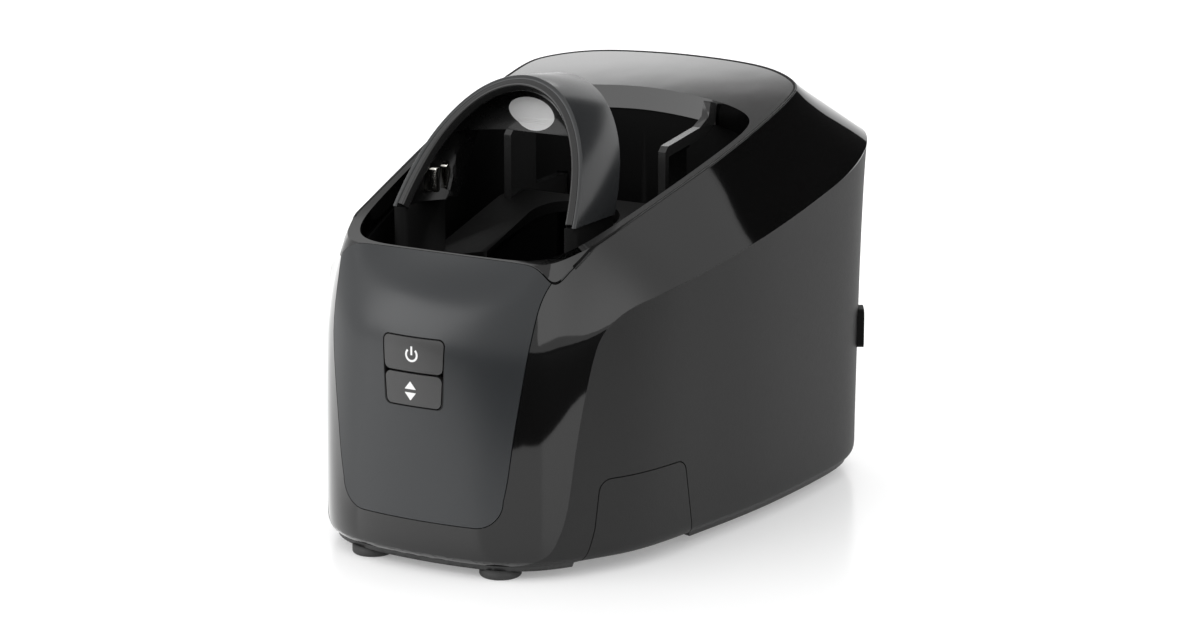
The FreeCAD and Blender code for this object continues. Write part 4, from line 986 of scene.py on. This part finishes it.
def staged_sheet(name, corners, material):
    """A flat sheet through its corners that belongs to the stage, not to the part."""
    mesh = bpy.data.meshes.new(name)
    mesh.from_pydata(corners, [], [tuple(range(len(corners)))])
    mesh.materials.append(material)
    sheet = bpy.data.objects.new(name, mesh)
    scene.collection.objects.link(sheet)


def board(name, corners, level, roughness, glow=0.0):
    """A staged sheet of one grey, which may glow a little as a lit table does."""
    shader = Shader(name, Roughness=roughness, Emission_Color=(1, 1, 1, 1),
                    Emission_Strength=glow)
    shader.set("Base Color", shader.mix(shader.noise(3.0), grey(level * 0.98), grey(level)))
    staged_sheet(name, corners, shader.material)


far = 7.0                    # metres to where the stage ends
floor_z = -0.004
table_edge = [(-far, -0.9), (-0.62, -0.9), (0.07, -0.285), (0.16, -0.255), (0.20, -0.215),
              (0.29, -0.145), (0.42, -0.05), (3.0, 1.0), (far, 2.0)]
board("white_table", [(x, y, 0) for x, y in table_edge + [(far, far), (-far, far)]],
      0.92, 0.22, glow=0.24)
board("dark_floor", [(x, y, floor_z) for x, y in ((-far, -far), (far, -far), (far, far),
                                                  (-far, far))], 0.012, 0.8)
print("table corners:", len(table_edge) + 2)

# %% Dark board behind on the right


board_centre = Vector((1.20, 2.68, 2.08))
board_heading = math.radians(69.0)      # of the way from the station to the board, from +X
board_width, board_height = 2.6, 2.03
across = Vector((-math.sin(board_heading), math.cos(board_heading), 0)) * board_width / 2
up = Vector((0, 0, 1)) * board_height / 2
board("dark_board", [tuple(board_centre + across * a + up * b)
                     for a, b in ((1, -1), (-1, -1), (-1, 1), (1, 1))], 0.008, 0.7)
print("dark board:", board_width, "by", board_height, "m")

# %% World and lamps
world = bpy.data.worlds.new("bright_room")
scene.world = world
world.use_nodes = True
background = world.node_tree.nodes["Background"].inputs
background["Color"].default_value = (1, 1, 1, 1)
background["Strength"].default_value = 1.0


def softbox(name, place, target, size, radiance):
    """An area lamp whose surface looks as bright as the radiance, where 1 is white."""
    lamp = bpy.data.lights.new(name, "AREA")
    lamp.shape = "RECTANGLE"
    lamp.size, lamp.size_y = size
    lamp.energy = radiance * math.pi * size[0] * size[1]
    holder = bpy.data.objects.new(name, lamp)
    holder.location = place
    holder.rotation_euler = (Vector(target) - Vector(place)).to_track_quat("-Z", "Y").to_euler()
    scene.collection.objects.link(holder)
    print(name, "watts:", round(lamp.energy, 1))


softbox("front_left_light", (-0.95, -1.45, 0.75), (0, -0.1, 0.07), (1.8, 1.3), 2.2)


def glow_card(name, corners, dim, bright, slope, start, end):
    """A glowing sheet whose brightness rises along a slope in X and Y from start to end."""
    shader = Shader(name, Base_Color=(0, 0, 0, 1), Emission_Strength=bright)
    x, y, _ = shader.split(shader.place)
    along = x * slope[0] + y * slope[1]
    shader.set("Emission Color", shader.mix(along.ramp(start, end), grey(dim / bright), grey(1)))
    staged_sheet(name, corners, shader.material)
    print(name, "from", dim, "to", bright)


# A card level with the table, high behind on the left, and an upright one on the right.
rear_card = [(x, y, 1.0) for x, y in ((-1.5, 0.85), (-0.35, 0.85), (-0.35, 1.5), (-1.5, 1.5))]
right_card = [(3.0, y, z) for y, z in ((-2.0, 0.2), (2.7, 0.2), (2.7, 3.2), (-2.0, 3.2))]
glow_card("rear_left_glow", rear_card, 0.4, 3.9, slope=(-0.25, 1), start=1.185, end=1.26)
glow_card("right_glow", right_card, 1.0, 2.2, slope=(0, -1), start=-2.0, end=1.4)

# %% Camera
camera_place = Vector((0.69017, -1.15943, 0.40127))
camera_aim = Vector((-0.49114, 0.83777, -0.23857))
camera_data = bpy.data.cameras.new("camera")
camera_data.lens = 112.46    # for a frame 36 mm wide
camera_data.sensor_width = 36.0
camera_data.clip_end = 50.0
camera = bpy.data.objects.new("camera", camera_data)
camera.location = camera_place
camera.rotation_euler = camera_aim.to_track_quat("-Z", "Y").to_euler()
scene.collection.objects.link(camera)
scene.camera = camera
scene.view_settings.view_transform = "Standard"
print("camera:", round(camera_place.length, 2), "m from the station")
